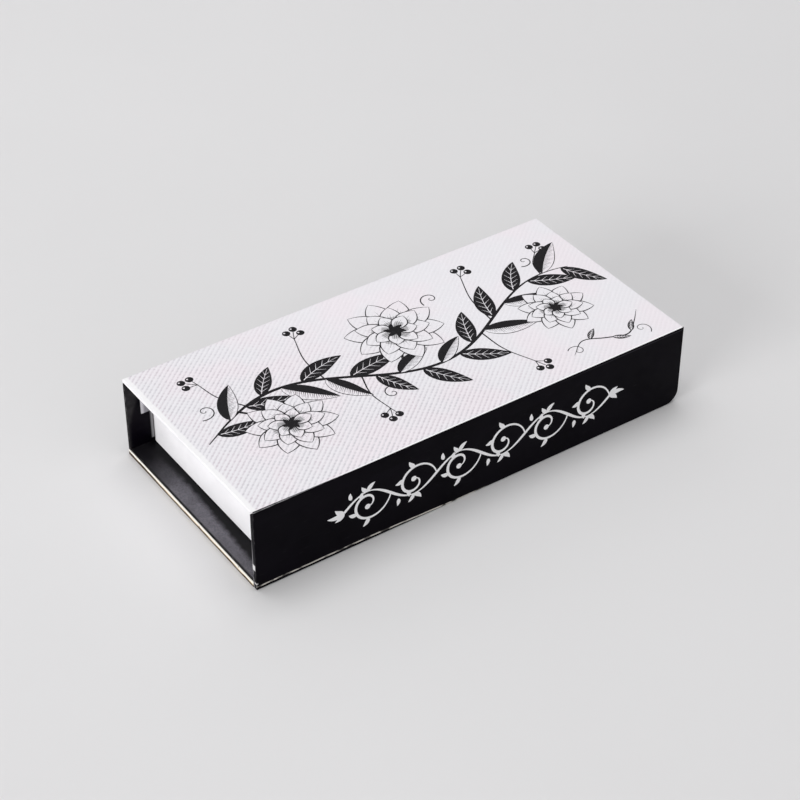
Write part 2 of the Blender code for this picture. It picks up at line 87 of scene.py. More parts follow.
# Crease papers: thickness, clearance under them, inset at the ends, columns, and the boards' edge radius
CREASE_THICKNESS = 0.05 * MM
CREASE_CLEAR = 0.045 * MM
CREASE_INSET = 0.35 * MM
FRONT_COLUMNS = 760
BACK_COLUMNS = 120
EDGE_RADIUS = 0.35 * MM
FOLD_STEPS = 6
UNBENT_PLACE = "unbent_place"

# Levels of the back crease's rows over the lid's hinge, in millimetres, closest where the paper bends
BACK_ROWS = (0.90, 0.55, 0.40, 0.30, 0.22, 0.14, 0.06, -0.02, -0.10, -0.18, -0.26, -0.45, -0.9, -2.6, -6.6)

# Print: level of the lowest ink over the board, rise from one layer to the next, and depth of a stroke
INK_LEVEL = 0.060 * MM
INK_STEP = 0.001 * MM
INK_DEPTH = 0.070 * MM
INK_CYCLE = 9

# Faces that meet at a larger angle have a sharp edge, and a plate's edge is rounded at a larger one
SHARP_ANGLE = math.radians(35)
PLATE_EDGE_ANGLE = 0.8


# Materials

class Shade:
    """One material's nodes. A value given to a call is a number, a colour or another node's output.

    Sizes, depths, reaches and the two ends of a step are in millimetres."""

    def __init__(self, name, metallic=0.0, attribute=None):
        self.material = bpy.data.materials.new(name)
        self.material.use_nodes = True
        self.nodes = self.material.node_tree.nodes
        self.links = self.material.node_tree.links
        self.surface = self.nodes["Principled BSDF"]
        self.surface.inputs["Metallic"].default_value = metallic
        if attribute:
            self.place = self.node("Attribute", {}, attribute_name=attribute).outputs["Vector"]
        else:
            self.place = self.node("TexCoord", {}).outputs["Object"]

    def feed(self, socket, value):
        if isinstance(value, bpy.types.NodeSocket):
            self.links.new(value, socket)
        elif isinstance(value, (tuple, list)) and len(value) == 3 and len(socket.default_value) == 4:
            socket.default_value = (*value, 1)
        else:
            socket.default_value = value

    def node(self, kind, inputs, **settings):
        node = self.nodes.new("ShaderNode" + kind)
        for key, value in settings.items():
            setattr(node, key, value)
        for key, value in inputs.items():
            self.feed(node.inputs[key], value)
        return node

    def set(self, **inputs):
        """Sets inputs of the surface and gives its material."""
        for key, value in inputs.items():
            self.feed(self.surface.inputs[key.replace("_", " ")], value)
        return self.material

    def axes(self):
        return self.node("SeparateXYZ", {0: self.place}).outputs

    def noise(self, size, detail=3.0, stretch=None, sharpness=0.5):
        """Noise with features of about that size, drawn out along an axis by stretch."""
        place = self.place
        if stretch:
            place = self.node("VectorMath", {0: place, 1: stretch}, operation="MULTIPLY").outputs[0]
        inputs = {"Vector": place, "Scale": 1 / (size * MM), "Detail": detail, "Roughness": sharpness}
        return self.node("TexNoise", inputs).outputs["Fac"]

    def cells(self, size):
        return self.node("TexVoronoi", {"Vector": self.place, "Scale": 1 / (size * MM)}).outputs["Distance"]

    def calc(self, operation, first, second=0.0, third=0.0):
        return self.node("Math", {0: first, 1: second, 2: third}, operation=operation).outputs[0]

    def plus(self, first, second):
        return self.calc("ADD", first, second)

    def less(self, first, second):
        return self.calc("SUBTRACT", first, second)

    def times(self, first, *others):
        for other in others:
            first = self.calc("MULTIPLY", first, other)
        return first

    def off(self, value, middle=0.0):
        """How far a value lies from a middle, to either side."""
        return self.calc("ABSOLUTE", self.less(value, middle))

    def mix(self, share, first, second):
        return self.node("Mix", {0: share, 6: first, 7: second}, data_type="RGBA").outputs[2]

    def ramp(self, value, start, end, low=0.0, high=1.0):
        """Goes smoothly from low to high as the value goes from start to end."""
        inputs = {"Value": value, "From Min": start, "From Max": end, "To Min": low, "To Max": high}
        return self.node("MapRange", inputs, interpolation_type="SMOOTHSTEP").outputs["Result"]

    def step(self, value, origin, start, end, low=0.0, high=1.0):
        """A ramp between two distances from an origin."""
        return self.ramp(value, origin + start * MM, origin + end * MM, low, high)

    def cloud(self, size, detail, start, end, low=0.0, high=1.0, stretch=None, sharpness=0.5):
        """A ramp between two levels of noise."""
        return self.ramp(self.noise(size, detail, stretch, sharpness), start, end, low, high)

    def uneven(self, size, low, high, detail=3):
        return self.cloud(size, detail, 0.3, 0.7, low, high)

    def wander(self, size, detail, span):
        """A length that strays round zero, in a band that is span wide."""
        return self.times(self.less(self.noise(size, detail), 0.5), span * MM)

    def mottle(self, first, second, *cloud):
        """Two colours mixed by a cloud."""
        return self.mix(self.cloud(*cloud), first, second)

    def within(self, *steps, patches=None):
        """The product of several steps, and of a cloud that breaks it into patches."""
        parts = [self.step(*step) for step in steps]
        if patches:
            parts.append(self.cloud(*patches))
        return self.times(*parts)

    def bump(self, height, depth, under=None):
        """Relief of that depth, over what is given as under."""
        inputs = {"Height": height, "Distance": depth * MM, "Strength": 1.0}
        if under:
            inputs["Normal"] = under
        return self.node("Bump", inputs).outputs[0]

    def worn(self, low, high, reach, size=2.5, start=0.45, end=0.62):
        """1 along the edges of a block, where two of its faces are near, broken into patches."""
        gaps = []
        for value, near, far in zip(self.axes(), low, high):
            gaps.append(self.calc("MINIMUM", self.less(value, near), self.less(far, value)))
        first, second, third = gaps
        least = self.calc("MINIMUM", first, second)
        most = self.calc("MAXIMUM", first, second)
        middle = self.calc("MAXIMUM", least, self.calc("MINIMUM", most, third))
        return self.within((middle, 0, reach, 0), patches=(size, 3, start, end))


def toned(colour, factor, lift=0.0):
    return tuple(min(1.0, factor * part + lift) for part in colour)


def wave(shade, cycles):
    x, y, _ = shade.axes()
    phase = shade.calc("MULTIPLY_ADD", y, cycles[1], shade.times(x, cycles[0]))
    return shade.calc("SINE", shade.times(phase, TURN))


def rib_wave(shade):
    """The embossed ribs, low in a groove and high on a ridge, beaded by the fainter ribs across them."""
    return shade.plus(wave(shade, RIB_WAVE), shade.times(wave(shade, CROSS_WAVE), CROSS_SHARE))


def ribbed_colour(shade):
    """White paper whose rib grooves are darkened with painted shade in lilac grey, broken into short runs, fainter
    towards the back and the right.
    """
    x, y, _ = shade.axes()
    tint = shade.mottle((0.818, 0.806, 0.840), (0.842, 0.792, 0.834), 24, 2, 0.36, 0.64)
    # painted shade: the darker colour laid into the rib grooves
    shadow = shade.mottle((0.618, 0.602, 0.640), (0.640, 0.586, 0.630), 12, 2, 0.4, 0.6)
    groove = shade.ramp(rib_wave(shade), 0.35, -1.05)
    faint = shade.ramp(shade.plus(x, y), *FADE, 1.0, FADED)
    runs = shade.cloud(1.5, 3, 0.33, 0.63, 0.38, 1.0)
    ribs = shade.mix(shade.times(groove, faint, runs), tint, shadow)
    ribs = shade.mottle(ribs, (0.70, 0.68, 0.71), 0.35, 4, 0.55, 0.75, 0.0, 0.12)
    inside = shade.ramp(shade.plus(x, shade.wander(4, 2, 0.8)), *BORDER)
    return shade.mix(inside, (0.885, 0.880, 0.892), ribs)


def ribbed_paper():
    shade = Shade("lid_ribbed_paper")
    relief = shade.bump(rib_wave(shade), 0.010)
    return shade.set(
        Base_Color=ribbed_colour(shade),
        Roughness=shade.uneven(3, 0.52, 0.66),
        Normal=shade.bump(shade.noise(0.22, 4), 0.012, relief),
    )


def white_paper(name, colour, low, high, shaded_corner=None, gloss=0.5):
    """Smooth white paper over board, a little mottled, with soiled edges, and darkened by painted shade near that
    corner in plan.
    """
    shade = Shade(name)
    body = shade.mottle(colour, toned(colour, 0.955), 14, 3, 0.35, 0.65)
    if shaded_corner:
        x, y, _ = shade.axes()
        # painted shade: each end face darker along its back vertical edge, by the spine
        corner = shade.within((y, shaded_corner.y, -1.3, -0.1, 0.0, 0.85), (shade.off(x), shaded_corner.x, -0.4, -0.1))
        body = shade.mix(corner, body, (0.16, 0.155, 0.17))
    edge = shade.times(shade.worn(low, high, 0.35), 0.45)
    relief = shade.bump(shade.noise(6, 2), 0.030)
    return shade.set(
        Specular_IOR_Level=gloss,
        Base_Color=shade.mix(edge, body, (0.55, 0.53, 0.52)),
        Roughness=shade.uneven(4, 0.42, 0.58),
        Normal=shade.bump(shade.noise(0.30, 4, (1, 1, 0.35)), 0.010, relief),
    )


def strip_paper():
    """The spine strip: lining paper coloured mid grey as painted shade, lighter along the edge at each of its ends
    as painted highlight.
    """
    shade = Shade("spine_strip_paper")
    x, _, _ = shade.axes()
    # painted highlight: lighter along the edge at each end
    end = shade.step(shade.off(x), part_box("spine_strip")[1].x, -1.6, -0.5)
    # painted shade: the white lining paper coloured mid grey
    body = shade.mottle((0.300, 0.292, 0.318), (0.205, 0.200, 0.222), 3, 3, 0.35, 0.65)
    return shade.set(
        Base_Color=shade.mix(end, body, (0.60, 0.59, 0.62)),
        Roughness=shade.uneven(4, 0.55, 0.70),
        Normal=shade.bump(shade.noise(0.30, 4, (1, 1, 0.35)), 0.012),
    )


def black_coat(shade):
    """Sets black coated paper's gloss and relief, and gives its colour and roughness, before wear."""
    body = shade.mottle((0.0014, 0.0008, 0.0024), (0.0028, 0.0019, 0.0044), 22, 3, 0.35, 0.7)
    body = shade.mottle(body, (0.016, 0.015, 0.018), 0.5, 5, 0.62, 0.78, 0.0, 0.5, (0.12, 1, 1))
    rough = shade.cloud(7, 4, 0.35, 0.70, 0.34, 0.50)
    relief = shade.bump(shade.noise(0.18), 0.006, shade.bump(shade.noise(5, 2), 0.020))
    shade.set(Specular_IOR_Level=0.035, Roughness=rough, Normal=relief)
    return body, rough


def black_paper(name, low, high, marks=None):
    """Black coated paper with a faint bloom and worn edges, over the marks that a function adds."""
    shade = Shade(name)
    body, _ = black_coat(shade)
    body = shade.mottle(body, (0.0080, 0.0070, 0.0095), 12, 3, 0.45, 0.70, 0.0, 0.5)
    if marks:
        body = marks(shade, body)
    edge = shade.times(shade.worn(low, high, 0.30), 0.55)
    return shade.set(Base_Color=shade.mix(edge, body, (0.30, 0.29, 0.29)))


def spine_marks(shade, body):
    """Painted light inside the spine by its ends, in patches, and a sliver of the tray's wrap beside each end wall,
    grey and fading to black away from the wall as painted shade.
    """
    x, y, z = shade.axes()
    end = shade.off(x)
    inside = (y, SPINE_LOW.y, 0.30, 0.10)
    # painted light: a lit zone inside the spine near each end, reaching farther in towards the top
    lit_edge_slant = shade.step(z, 0, 10, 34, HALF - 0.8 * MM, HALF - 6.5 * MM)
    painted_light = shade.within((shade.less(end, lit_edge_slant), 0, -1.0, 1.2), inside, patches=(2.2, 4, 0.30, 0.65, 0.55, 1.0))
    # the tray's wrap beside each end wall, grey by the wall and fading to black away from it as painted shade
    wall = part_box("tray_right_wall")[1].x
    shaded_wrap = shade.within((end, wall, 1.05, 0.10), (end, wall, -0.5, -0.2), (z, 0, 3.9, 4.5), inside)
    return shade.mix(shaded_wrap, shade.mix(painted_light, body, (0.034, 0.032, 0.034)), (0.52, 0.51, 0.53))


def flap_paper():
    """The flap's black paper, with worn ends, a chip and a pale stroke by its left foot and a cream line along the
    left of it; the left end is lighter by its inner edge, part rubbing and part painted highlight.
    """
    shade = Shade("flap_black_paper")
    body, _ = black_coat(shade)
    x, y, z = shade.axes()
    left = (x, -HALF, 0.9, 0.3)
    inner = (y, FLAP_HIGH.y, -0.75, -0.15)
    ends = shade.worn(FLAP_LOW, FLAP_HIGH, 0.30, 3.5, 0.48, 0.66)
    # part rubbing and part painted highlight: lighter by the left end's inner edge, most towards the bottom
    highlight_and_rub = shade.within(left, inner, (z, 0, 24, 12, 0.15, 1.0), patches=(5, 4, 0.34, 0.52))
    chip = (left, (z, 0, 11.4, 10.8), (z, 0, 8.4, 9.0), (y, FRONT, 0.3, 0.6))
    chip = shade.within(*chip, patches=(1.6, 4, 0.30, 0.44))
    stroke = shade.within(left, (shade.off(z, 2.9 * MM), 0, 0.46, 0.24), (y, FRONT, 1.5, 1.1))
    for mark, strength, colour in (
        (ends, 0.30, (0.20, 0.19, 0.20)),
        (highlight_and_rub, 0.70, (0.38, 0.37, 0.39)),
        (chip, 0.90, (0.70, 0.69, 0.70)),
        (stroke, 0.80, (0.62, 0.61, 0.62)),
    ):
        body = shade.mix(shade.times(mark, strength), body, colour)
    height = shade.plus(shade.step(x, 0, -52, -2, 1.60 * MM, 0.45 * MM), shade.wander(6, 2, 0.30))
    line = ((shade.off(z, height), 0, 0.38, 0.22), (x, 0, 6, -4), (y, FRONT, 0.9, 0.5))
    line = shade.within(*line, patches=(1.9, 4, 0.40, 0.53, 0.10, 1.0, (0.40, 1, 1)))
    return shade.set(Base_Color=shade.mix(line, body, (0.64, 0.61, 0.56)))


def base_board_paper():
    """The base: black paper round it, worn through to the pale board along the upper half of its ends."""
    shade = Shade("base_edge_paper")
    body, _ = black_coat(shade)
    x, y, z = shade.axes()
    end = (shade.off(x), HALF, -0.45, -0.25)
    border = shade.plus(shade.step(y, 0, 18, 36, 0.85 * MM, 1.35 * MM), shade.uneven(6, -0.15 * MM, 0.15 * MM))
    pale = shade.within(end, (shade.less(z, border), 0, -0.10, 0.12), patches=(1.8, 4, 0.24, 0.36))
    cream = shade.mottle((0.76, 0.66, 0.51), (0.68, 0.56, 0.41), 7, 3, 0.38, 0.66)
    tone = shade.mix(shade.step(z, 0, 1.15, 1.70), cream, (0.92, 0.90, 0.83))
    rust = shade.within(end, (z, 0, 1.1, 0.3, 0.35, 0.75))
    body = shade.mix(rust, body, (0.105, 0.062, 0.036))
    return shade.set(Base_Color=shade.mix(pale, body, tone))


def base_liner_paper(low, high):
    """The base liner: black, with painted light over its outer part near each end, fading towards the tray, the back
    and the very edge, in patches, and with worn edges.
    """
    shade = Shade("base_liner_paper")
    x, y, _ = shade.axes()
    end = shade.off(x)
    # painted light: a lit zone near each end of the case whose inner edge slants with y, dimmer right at the outer
    # edge and towards the back, in patches
    lit_edge_slant = shade.step(y, 0, 20, -42, 0.0, 2.4 * MM)
    out = shade.less(shade.plus(end, shade.wander(3, 4, 2.4)), lit_edge_slant)
    share = shade.times(
        shade.within((out, HALF, -8.8, -5.8), (end, HALF, -0.75, -1.15, 0.10, 1.0), (y, 0, 37, 10, 0.05, 1.0)),
        shade.cloud(0.5, 4, 0.32, 0.68, 0.62, 1.0),
        shade.cloud(9, 3, 0.32, 0.68, 0.72, 1.0),
    )
    body = shade.mix(share, (0.0030, 0.0026, 0.0038), (0.178, 0.170, 0.196))
    edge = shade.times(shade.worn(low, high, 0.3), 0.15)
    return shade.set(
        Base_Color=shade.mix(edge, body, (0.25, 0.24, 0.25)),
        Roughness=shade.uneven(5, 0.34, 0.50, 4),
        Specular_IOR_Level=0.12,
        Normal=shade.bump(shade.noise(1.2), 0.008),
    )


def foam(name):
    shade = Shade(name)
    shaded_pores = shade.cells(0.42)
    # painted shade: the pores, which the bump sinks as pits, coloured darker
    body = shade.mix(shade.ramp(shaded_pores, 0.15, 0.5), (0.012, 0.012, 0.013), (0.034, 0.034, 0.037))
    return shade.set(
        Base_Color=shade.mottle(body, (0.16, 0.12, 0.11), 0.9, 5, 0.62, 0.80, 0.0, 0.30),
        Roughness=shade.uneven(2, 0.82, 0.95),
        Normal=shade.bump(shaded_pores, 0.050),
    )


def grey_board():
    shade = Shade("grey_board")
    fibres = shade.noise(0.6, 6, (1, 1, 0.3), 0.7)
    body = shade.mix(shade.ramp(fibres, 0.35, 0.65), (0.36, 0.34, 0.31), (0.47, 0.45, 0.42))
    return shade.set(
        Base_Color=shade.mix(shade.ramp(shade.cells(1.1), 0.10, 0.04), body, (0.18, 0.16, 0.14)),
        Roughness=shade.ramp(fibres, 0.3, 0.7, 0.80, 0.92),
        Normal=shade.bump(fibres, 0.040),
    )


def metal(name, colour, roughness, stretch=(1, 1, 1), tarnish=0.25):
    """Metal with fine drawn lines, smudges and a little tarnish."""
    shade = Shade(name, 1.0)
    lines = shade.noise(0.16, 4, stretch)
    smudge = shade.cloud(4, 4, 0.35, 0.70)
    drawn = shade.ramp(lines, 0.3, 0.7, roughness * 0.8, roughness * 1.25)
    return shade.set(
        Base_Color=shade.mix(shade.times(smudge, tarnish), colour, toned(colour, 0.72)),
        Roughness=shade.plus(drawn, shade.times(smudge, 0.08)),
        Normal=shade.bump(lines, 0.004),
    )


def mirror_glass():
    shade = Shade("mirror_silver", 1.0)
    smudge = shade.cloud(16, 5, 0.52, 0.78, sharpness=0.6)
    body = shade.mix(smudge, (0.90, 0.915, 0.915), (0.80, 0.815, 0.815))
    return shade.set(
        Base_Color=shade.mix(shade.ramp(shade.cells(3.2), 0.035, 0.015), body, (0.45, 0.45, 0.44)),
        Roughness=shade.ramp(smudge, 0.0, 1.0, 0.015, 0.13),
        Normal=shade.bump(shade.noise(40, 1), 0.010),
    )


def lacquer(low, high):
    shade = Shade("handle_lacquer")
    body = shade.mottle((0.010, 0.010, 0.012), (0.060, 0.055, 0.060), 0.25, 2, 0.66, 0.74, 0.0, 0.35)
    return shade.set(
        Base_Color=shade.mix(shade.worn(low, high, 0.5), body, (0.05, 0.05, 0.05)),
        Roughness=shade.cloud(6, 4, 0.35, 0.75, 0.10, 0.26, (0.3, 1, 1)),
        Normal=shade.bump(shade.noise(1.4, 2), 0.004),
        Coat_Weight=0.6,
        Coat_Roughness=0.06,
    )


def hair(tip):
    """Brown hair, paler towards its tips."""
    shade = Shade("tuft_hair")
    x, _, _ = shade.axes()
    streak = shade.noise(0.25, 4, (0.06, 1, 1))
    body = shade.mix(shade.ramp(streak, 0.35, 0.65), (0.060, 0.030, 0.018), (0.190, 0.105, 0.062))
    return shade.set(
        Base_Color=shade.mix(shade.step(x, tip, -6.0, -0.5, 0.0, 0.75), body, (0.42, 0.29, 0.20)),
        Roughness=shade.ramp(streak, 0.3, 0.7, 0.38, 0.60),
        Normal=shade.bump(streak, 0.010),
        Sheen_Weight=0.3,
        Sheen_Roughness=0.4,
    )


def sponge():
    shade = Shade("sponge_foam")
    shaded_pores = shade.cells(0.30)
    return shade.set(
        # painted shade: the pores, which the bump sinks as pits, coloured darker
        Base_Color=shade.mix(shade.ramp(shaded_pores, 0.05, 0.45), (0.62, 0.57, 0.53), (0.86, 0.83, 0.79)),
        Roughness=shade.uneven(1, 0.88, 0.98),
        Normal=shade.bump(shaded_pores, 0.060),
        Sheen_Weight=0.25,
        Sheen_Roughness=0.5,
    )


def pressed_powder(name, colour, shimmer):
    """Pressed powder: fine grains, and flakes that catch the light where it shimmers."""
    shade = Shade(name)
    grains = shade.noise(0.14, 5, None, 0.65)
    body = shade.mix(shade.ramp(grains, 0.3, 0.7), toned(colour, 0.80), toned(colour, 1.12, 0.01))
    body = shade.mottle(body, toned(colour, 0.85, 0.10), 3, 4, 0.45, 0.75, 0.0, 0.22)
    flakes = shade.ramp(shade.cells(0.22), 0.16, 0.06, 0.0, shimmer)
    return shade.set(
        Base_Color=shade.mix(flakes, body, toned(colour, 1.5, 0.18)),
        Metallic=shade.times(flakes, 0.8),
        Roughness=shade.ramp(flakes, 0.0, 1.0, 0.80 - 0.25 * shimmer, 0.28),
        Normal=shade.bump(grains, 0.035),
    )


def ink(name, colour, roughness, gloss):
    """Printed ink or foil, a little uneven where the rollers left less of it."""
    shade = Shade(name)
    return shade.set(
        Specular_IOR_Level=gloss,
        Base_Color=shade.mottle(colour, toned(colour, 0.82, 0.012), 1.1, 5, 0.56, 0.78, 0.0, 0.30),
        Roughness=shade.uneven(2.5, roughness * 0.85, roughness * 1.15),
        Normal=shade.bump(shade.noise(0.2), 0.004),
    )


def floor_paint():
    shade = Shade("studio_floor")
    return shade.set(
        Base_Color=shade.mottle((0.700, 0.696, 0.702), (0.722, 0.718, 0.724), 350, 3, 0.3, 0.7),
        Roughness=shade.uneven(50, 0.75, 0.85),
        Normal=shade.bump(shade.noise(4), 0.02),
    )


def front_crease_paper():
    """White and ribbed on top, black on the face, with the border askew; a plain whiter band along the crest away
    from the left end is a painted highlight, and the fold is lighter at the left, part rubbing and part painted
    highlight.
    """
    shade = Shade("front_crease_paper", attribute=UNBENT_PLACE)
    x, run, _ = shade.axes()
    body, rough = black_coat(shade)
    askew = shade.ramp(x, -HALF - 10 * MM, -42 * MM, 1.05 * MM, 0.0)
    border = shade.plus(shade.plus(askew, shade.wander(1.4, 4, 0.16)), FRONT)
    black = shade.step(shade.less(border, run), 0, -0.06, 0.06)
    # painted highlight: a plain whiter band along the crest, away from the left end
    plain = shade.times(shade.step(run, FRONT, 0.72, 0.56), shade.ramp(x, -HALF, -25 * MM))
    white = shade.mix(plain, ribbed_colour(shade), (0.93, 0.925, 0.93))
    fold = shade.off(run, FRONT + 0.26 * MM)
    # the fold lighter at the left: part rubbing, which also roughens it, and part painted highlight
    highlight_and_rub = shade.within((fold, 0, 0.26, 0.08), (x, 0, -58, -90, 0.0, 0.85), patches=(5, 4, 0.30, 0.58, 0.30, 1.0))
    highlight_and_rub = shade.times(highlight_and_rub, black)
    # a faint grey line on the face below the fold, towards the right
    grey_line = shade.within((shade.off(run, FRONT - 0.80 * MM), 0, 0.16, 0.05), (x, 0, 20, 70, 0.0, 0.5))
    colour = shade.mix(grey_line, shade.mix(black, white, body), (0.085, 0.078, 0.098))
    return shade.set(
        Base_Color=shade.mix(highlight_and_rub, colour, (0.36, 0.355, 0.37)),
        Roughness=shade.plus(rough, shade.times(highlight_and_rub, 0.2)),
    )


def back_crease_paper():
    """White on top and black from the edge down, lightly cracked where the hinge bends it."""
    shade = Shade("back_crease_paper", attribute=UNBENT_PLACE)
    _, run, _ = shade.axes()
    body, _ = black_coat(shade)
    border = shade.plus(shade.wander(1.4, 4, 0.25), BACK - 0.10 * MM)
    colour = shade.mix(shade.step(shade.less(run, border), 0, -0.06, 0.06), ribbed_colour(shade), body)
    bend = (shade.off(run, BACK + 1.45 * MM), 0, 0.55, 0.10)
    cracks = shade.within(bend, patches=(0.9, 5, 0.58, 0.70, 0.0, 0.5, (1, 0.25, 1)))
    return shade.set(Base_Color=shade.mix(cracks, colour, (0.30, 0.29, 0.30)))


# Shapes

def new_piece(name, mesh, material, body, smooth=True):
    """Adds a finished mesh as a piece that rides on a body."""
    obj = bpy.data.objects.new(name, mesh)
    bpy.context.scene.collection.objects.link(obj)
    mesh.materials.clear()
    mesh.materials.append(material)
    if smooth:
        mesh.shade_smooth()
        mesh.set_sharp_from_angle(angle=SHARP_ANGLE)
    if body:
        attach(obj, body)
    return obj


def mesh_from(name, vertices, faces):
    mesh = bpy.data.meshes.new(name)
    mesh.from_pydata([tuple(vertex) for vertex in vertices], [], faces)
    shape = bmesh.new()
    shape.from_mesh(mesh)
    bmesh.ops.recalc_face_normals(shape, faces=shape.faces)
    shape.to_mesh(mesh)
    shape.free()
    return mesh


def tube_faces(start, last, sides, closed=True):
    """Faces of a tube whose rings of vertices follow one another, from the ring at start to the one at last."""
    faces = []
    for ring in range(start, last, sides):
        for side in range(sides):
            after = (side + 1) % sides
            faces.append((ring + side, ring + after, ring + sides + after, ring + sides + side))
    if closed:
        faces += [tuple(range(end, end + sides)) for end in (start, last)]
    return faces


def rib_height(x, y):
    """Relief of the ribs, which is flat along the left border and low where they fade."""
    fade = np.interp(x + y, FADE, (1.0, FADED)) * np.interp(x, BORDER, (0.0, 1.0))
    return RIB_HEIGHT * fade * np.sin(TURN * (RIB_WAVE[0] * x + RIB_WAVE[1] * y))


def make_ribbed_sheet(material):
    """The lid's cover paper: a sheet cut into long strips along its ribs, so that they are real relief."""
    end = HALF - SHEET_INSET
    front, back = LID_LOW.y + SHEET_FRONT_INSET, BACK - SHEET_INSET
    shape = bmesh.new()
    corners = [(-end, front), (end, front), (end, back), (-end, back)]
    shape.faces.new([shape.verts.new((x, y, 0)) for x, y in corners])
    phases = [RIB_WAVE[0] * x + RIB_WAVE[1] * y for x, y in corners]
    across = Vector((*RIB_WAVE, 0))
    first = math.ceil(min(phases) * RIB_STEPS)
    last = math.floor(max(phases) * RIB_STEPS)
    cuts = [(across * (index / RIB_STEPS / across.length_squared), across) for index in range(first, last + 1)]
    cuts += [(Vector((edge, 0, 0)), Vector((1, 0, 0))) for edge in BORDER]
    cuts += [(Vector((total, 0, 0)), Vector((1, 1, 0))) for total in FADE]
    for point, normal in cuts:
        geometry = shape.verts[:] + shape.edges[:] + shape.faces[:]
        bmesh.ops.bisect_plane(shape, geom=geometry, plane_co=point, plane_no=normal)
    skirt = bmesh.ops.extrude_face_region(shape, geom=shape.faces[:])
    lower = {item for item in skirt["geom"] if isinstance(item, bmesh.types.BMVert)}
    for vertex in shape.verts:
        if vertex in lower:
            vertex.co.z = TOP - RIB_LEVEL
        else:
            vertex.co.z = TOP + RIB_LEVEL + rib_height(vertex.co.x, vertex.co.y)
    bmesh.ops.recalc_face_normals(shape, faces=shape.faces)
    mesh = bpy.data.meshes.new("lid_cover_paper")
    shape.to_mesh(mesh)
    shape.free()
    return new_piece("lid_cover_paper", mesh, material, "lid")


def crease_strip(name, path, columns, material):
    """A strip of cover paper bent along a path of (y, z, outward y, outward z, run), drawn out along X.

    The run is the place across the unbent paper, kept with x for the material."""
    rows = len(path)
    stride = 2 * rows
    vertices, unbent, faces = [], [], []
    for x in np.linspace(-HALF + CREASE_INSET, HALF - CREASE_INSET, columns + 1):
        for lift in (CREASE_THICKNESS / 2, -CREASE_THICKNESS / 2):
            vertices += [(x, y + out_y * lift, z + out_z * lift) for y, z, out_y, out_z, _ in path]
            unbent += [(x, point[-1], 0.0) for point in path]
    for here in range(0, columns * stride, stride):
        for ring in range(here, here + stride):
            if ring % rows < rows - 1:
                faces.append((ring, ring + 1, stride + ring + 1, stride + ring))
        for row in (here, here + rows - 1):
            faces.append((row, row + rows, row + stride + rows, row + stride))
    for here in (0, columns * stride):
        faces += [(row, row + 1, rows + row + 1, rows + row) for row in range(here, here + rows - 1)]
    mesh = mesh_from(name, vertices, faces)
    attribute = mesh.attributes.new(UNBENT_PLACE, "FLOAT_VECTOR", "POINT")
    attribute.data.foreach_set("vector", np.array(unbent, np.float32).ravel())
    return new_piece(name, mesh, material, None)


def fold_points(edge, outward, steps):
    """Points (y, z) round the boards' upper edge, whose face is at that y and looks outward, 1 or -1."""
    radius = EDGE_RADIUS + CREASE_CLEAR
    points = []
    for step in steps:
        turn = step / FOLD_STEPS * math.pi / 2
        y = edge - outward * (EDGE_RADIUS - radius * math.sin(turn))
        points.append((y, TOP - EDGE_RADIUS + radius * math.cos(turn)))
    return points


def with_outward(points, sign):
    """Adds to each point of a path its outward direction and its run along the paper."""
    path = []
    run = points[0][0]
    for index, point in enumerate(points):
        before = points[max(index - 1, 0)]
        after = points[min(index + 1, len(points) - 1)]
        along = Vector((after[0] - before[0], after[1] - before[1])).normalized()
        if index:
            run += sign * math.hypot(point[0] - before[0], point[1] - before[1])
        path.append((*point, sign * along.y, sign * along.x, run))
    return path


def front_crease_path():
    """From the lid's top, round the front edge and down the flap's face."""
    starts = (LID_LOW.y + 0.37 * MM, FRONT + 0.75 * MM, FRONT + EDGE_RADIUS)
    points = [(y, TOP + CREASE_CLEAR) for y in starts]
    points += fold_points(FRONT, -1, range(1, FOLD_STEPS))
    points += [(FRONT - CREASE_CLEAR, TOP - drop) for drop in (EDGE_RADIUS, 0.75 * MM, 3.0 * MM, 6.0 * MM)]
    return with_outward(points, -1)


def back_crease_path():
    """From the lid's top, round the back edge, down over the hinge and on to the spine."""
    points = [(BACK - 0.42 * MM, TOP + CREASE_CLEAR)]
    points += fold_points(BACK, 1, range(FOLD_STEPS + 1))
    points += [(BACK + CREASE_CLEAR, LID_HINGE + level * MM) for level in BACK_ROWS]
    return with_outward(points, 1)


# Print

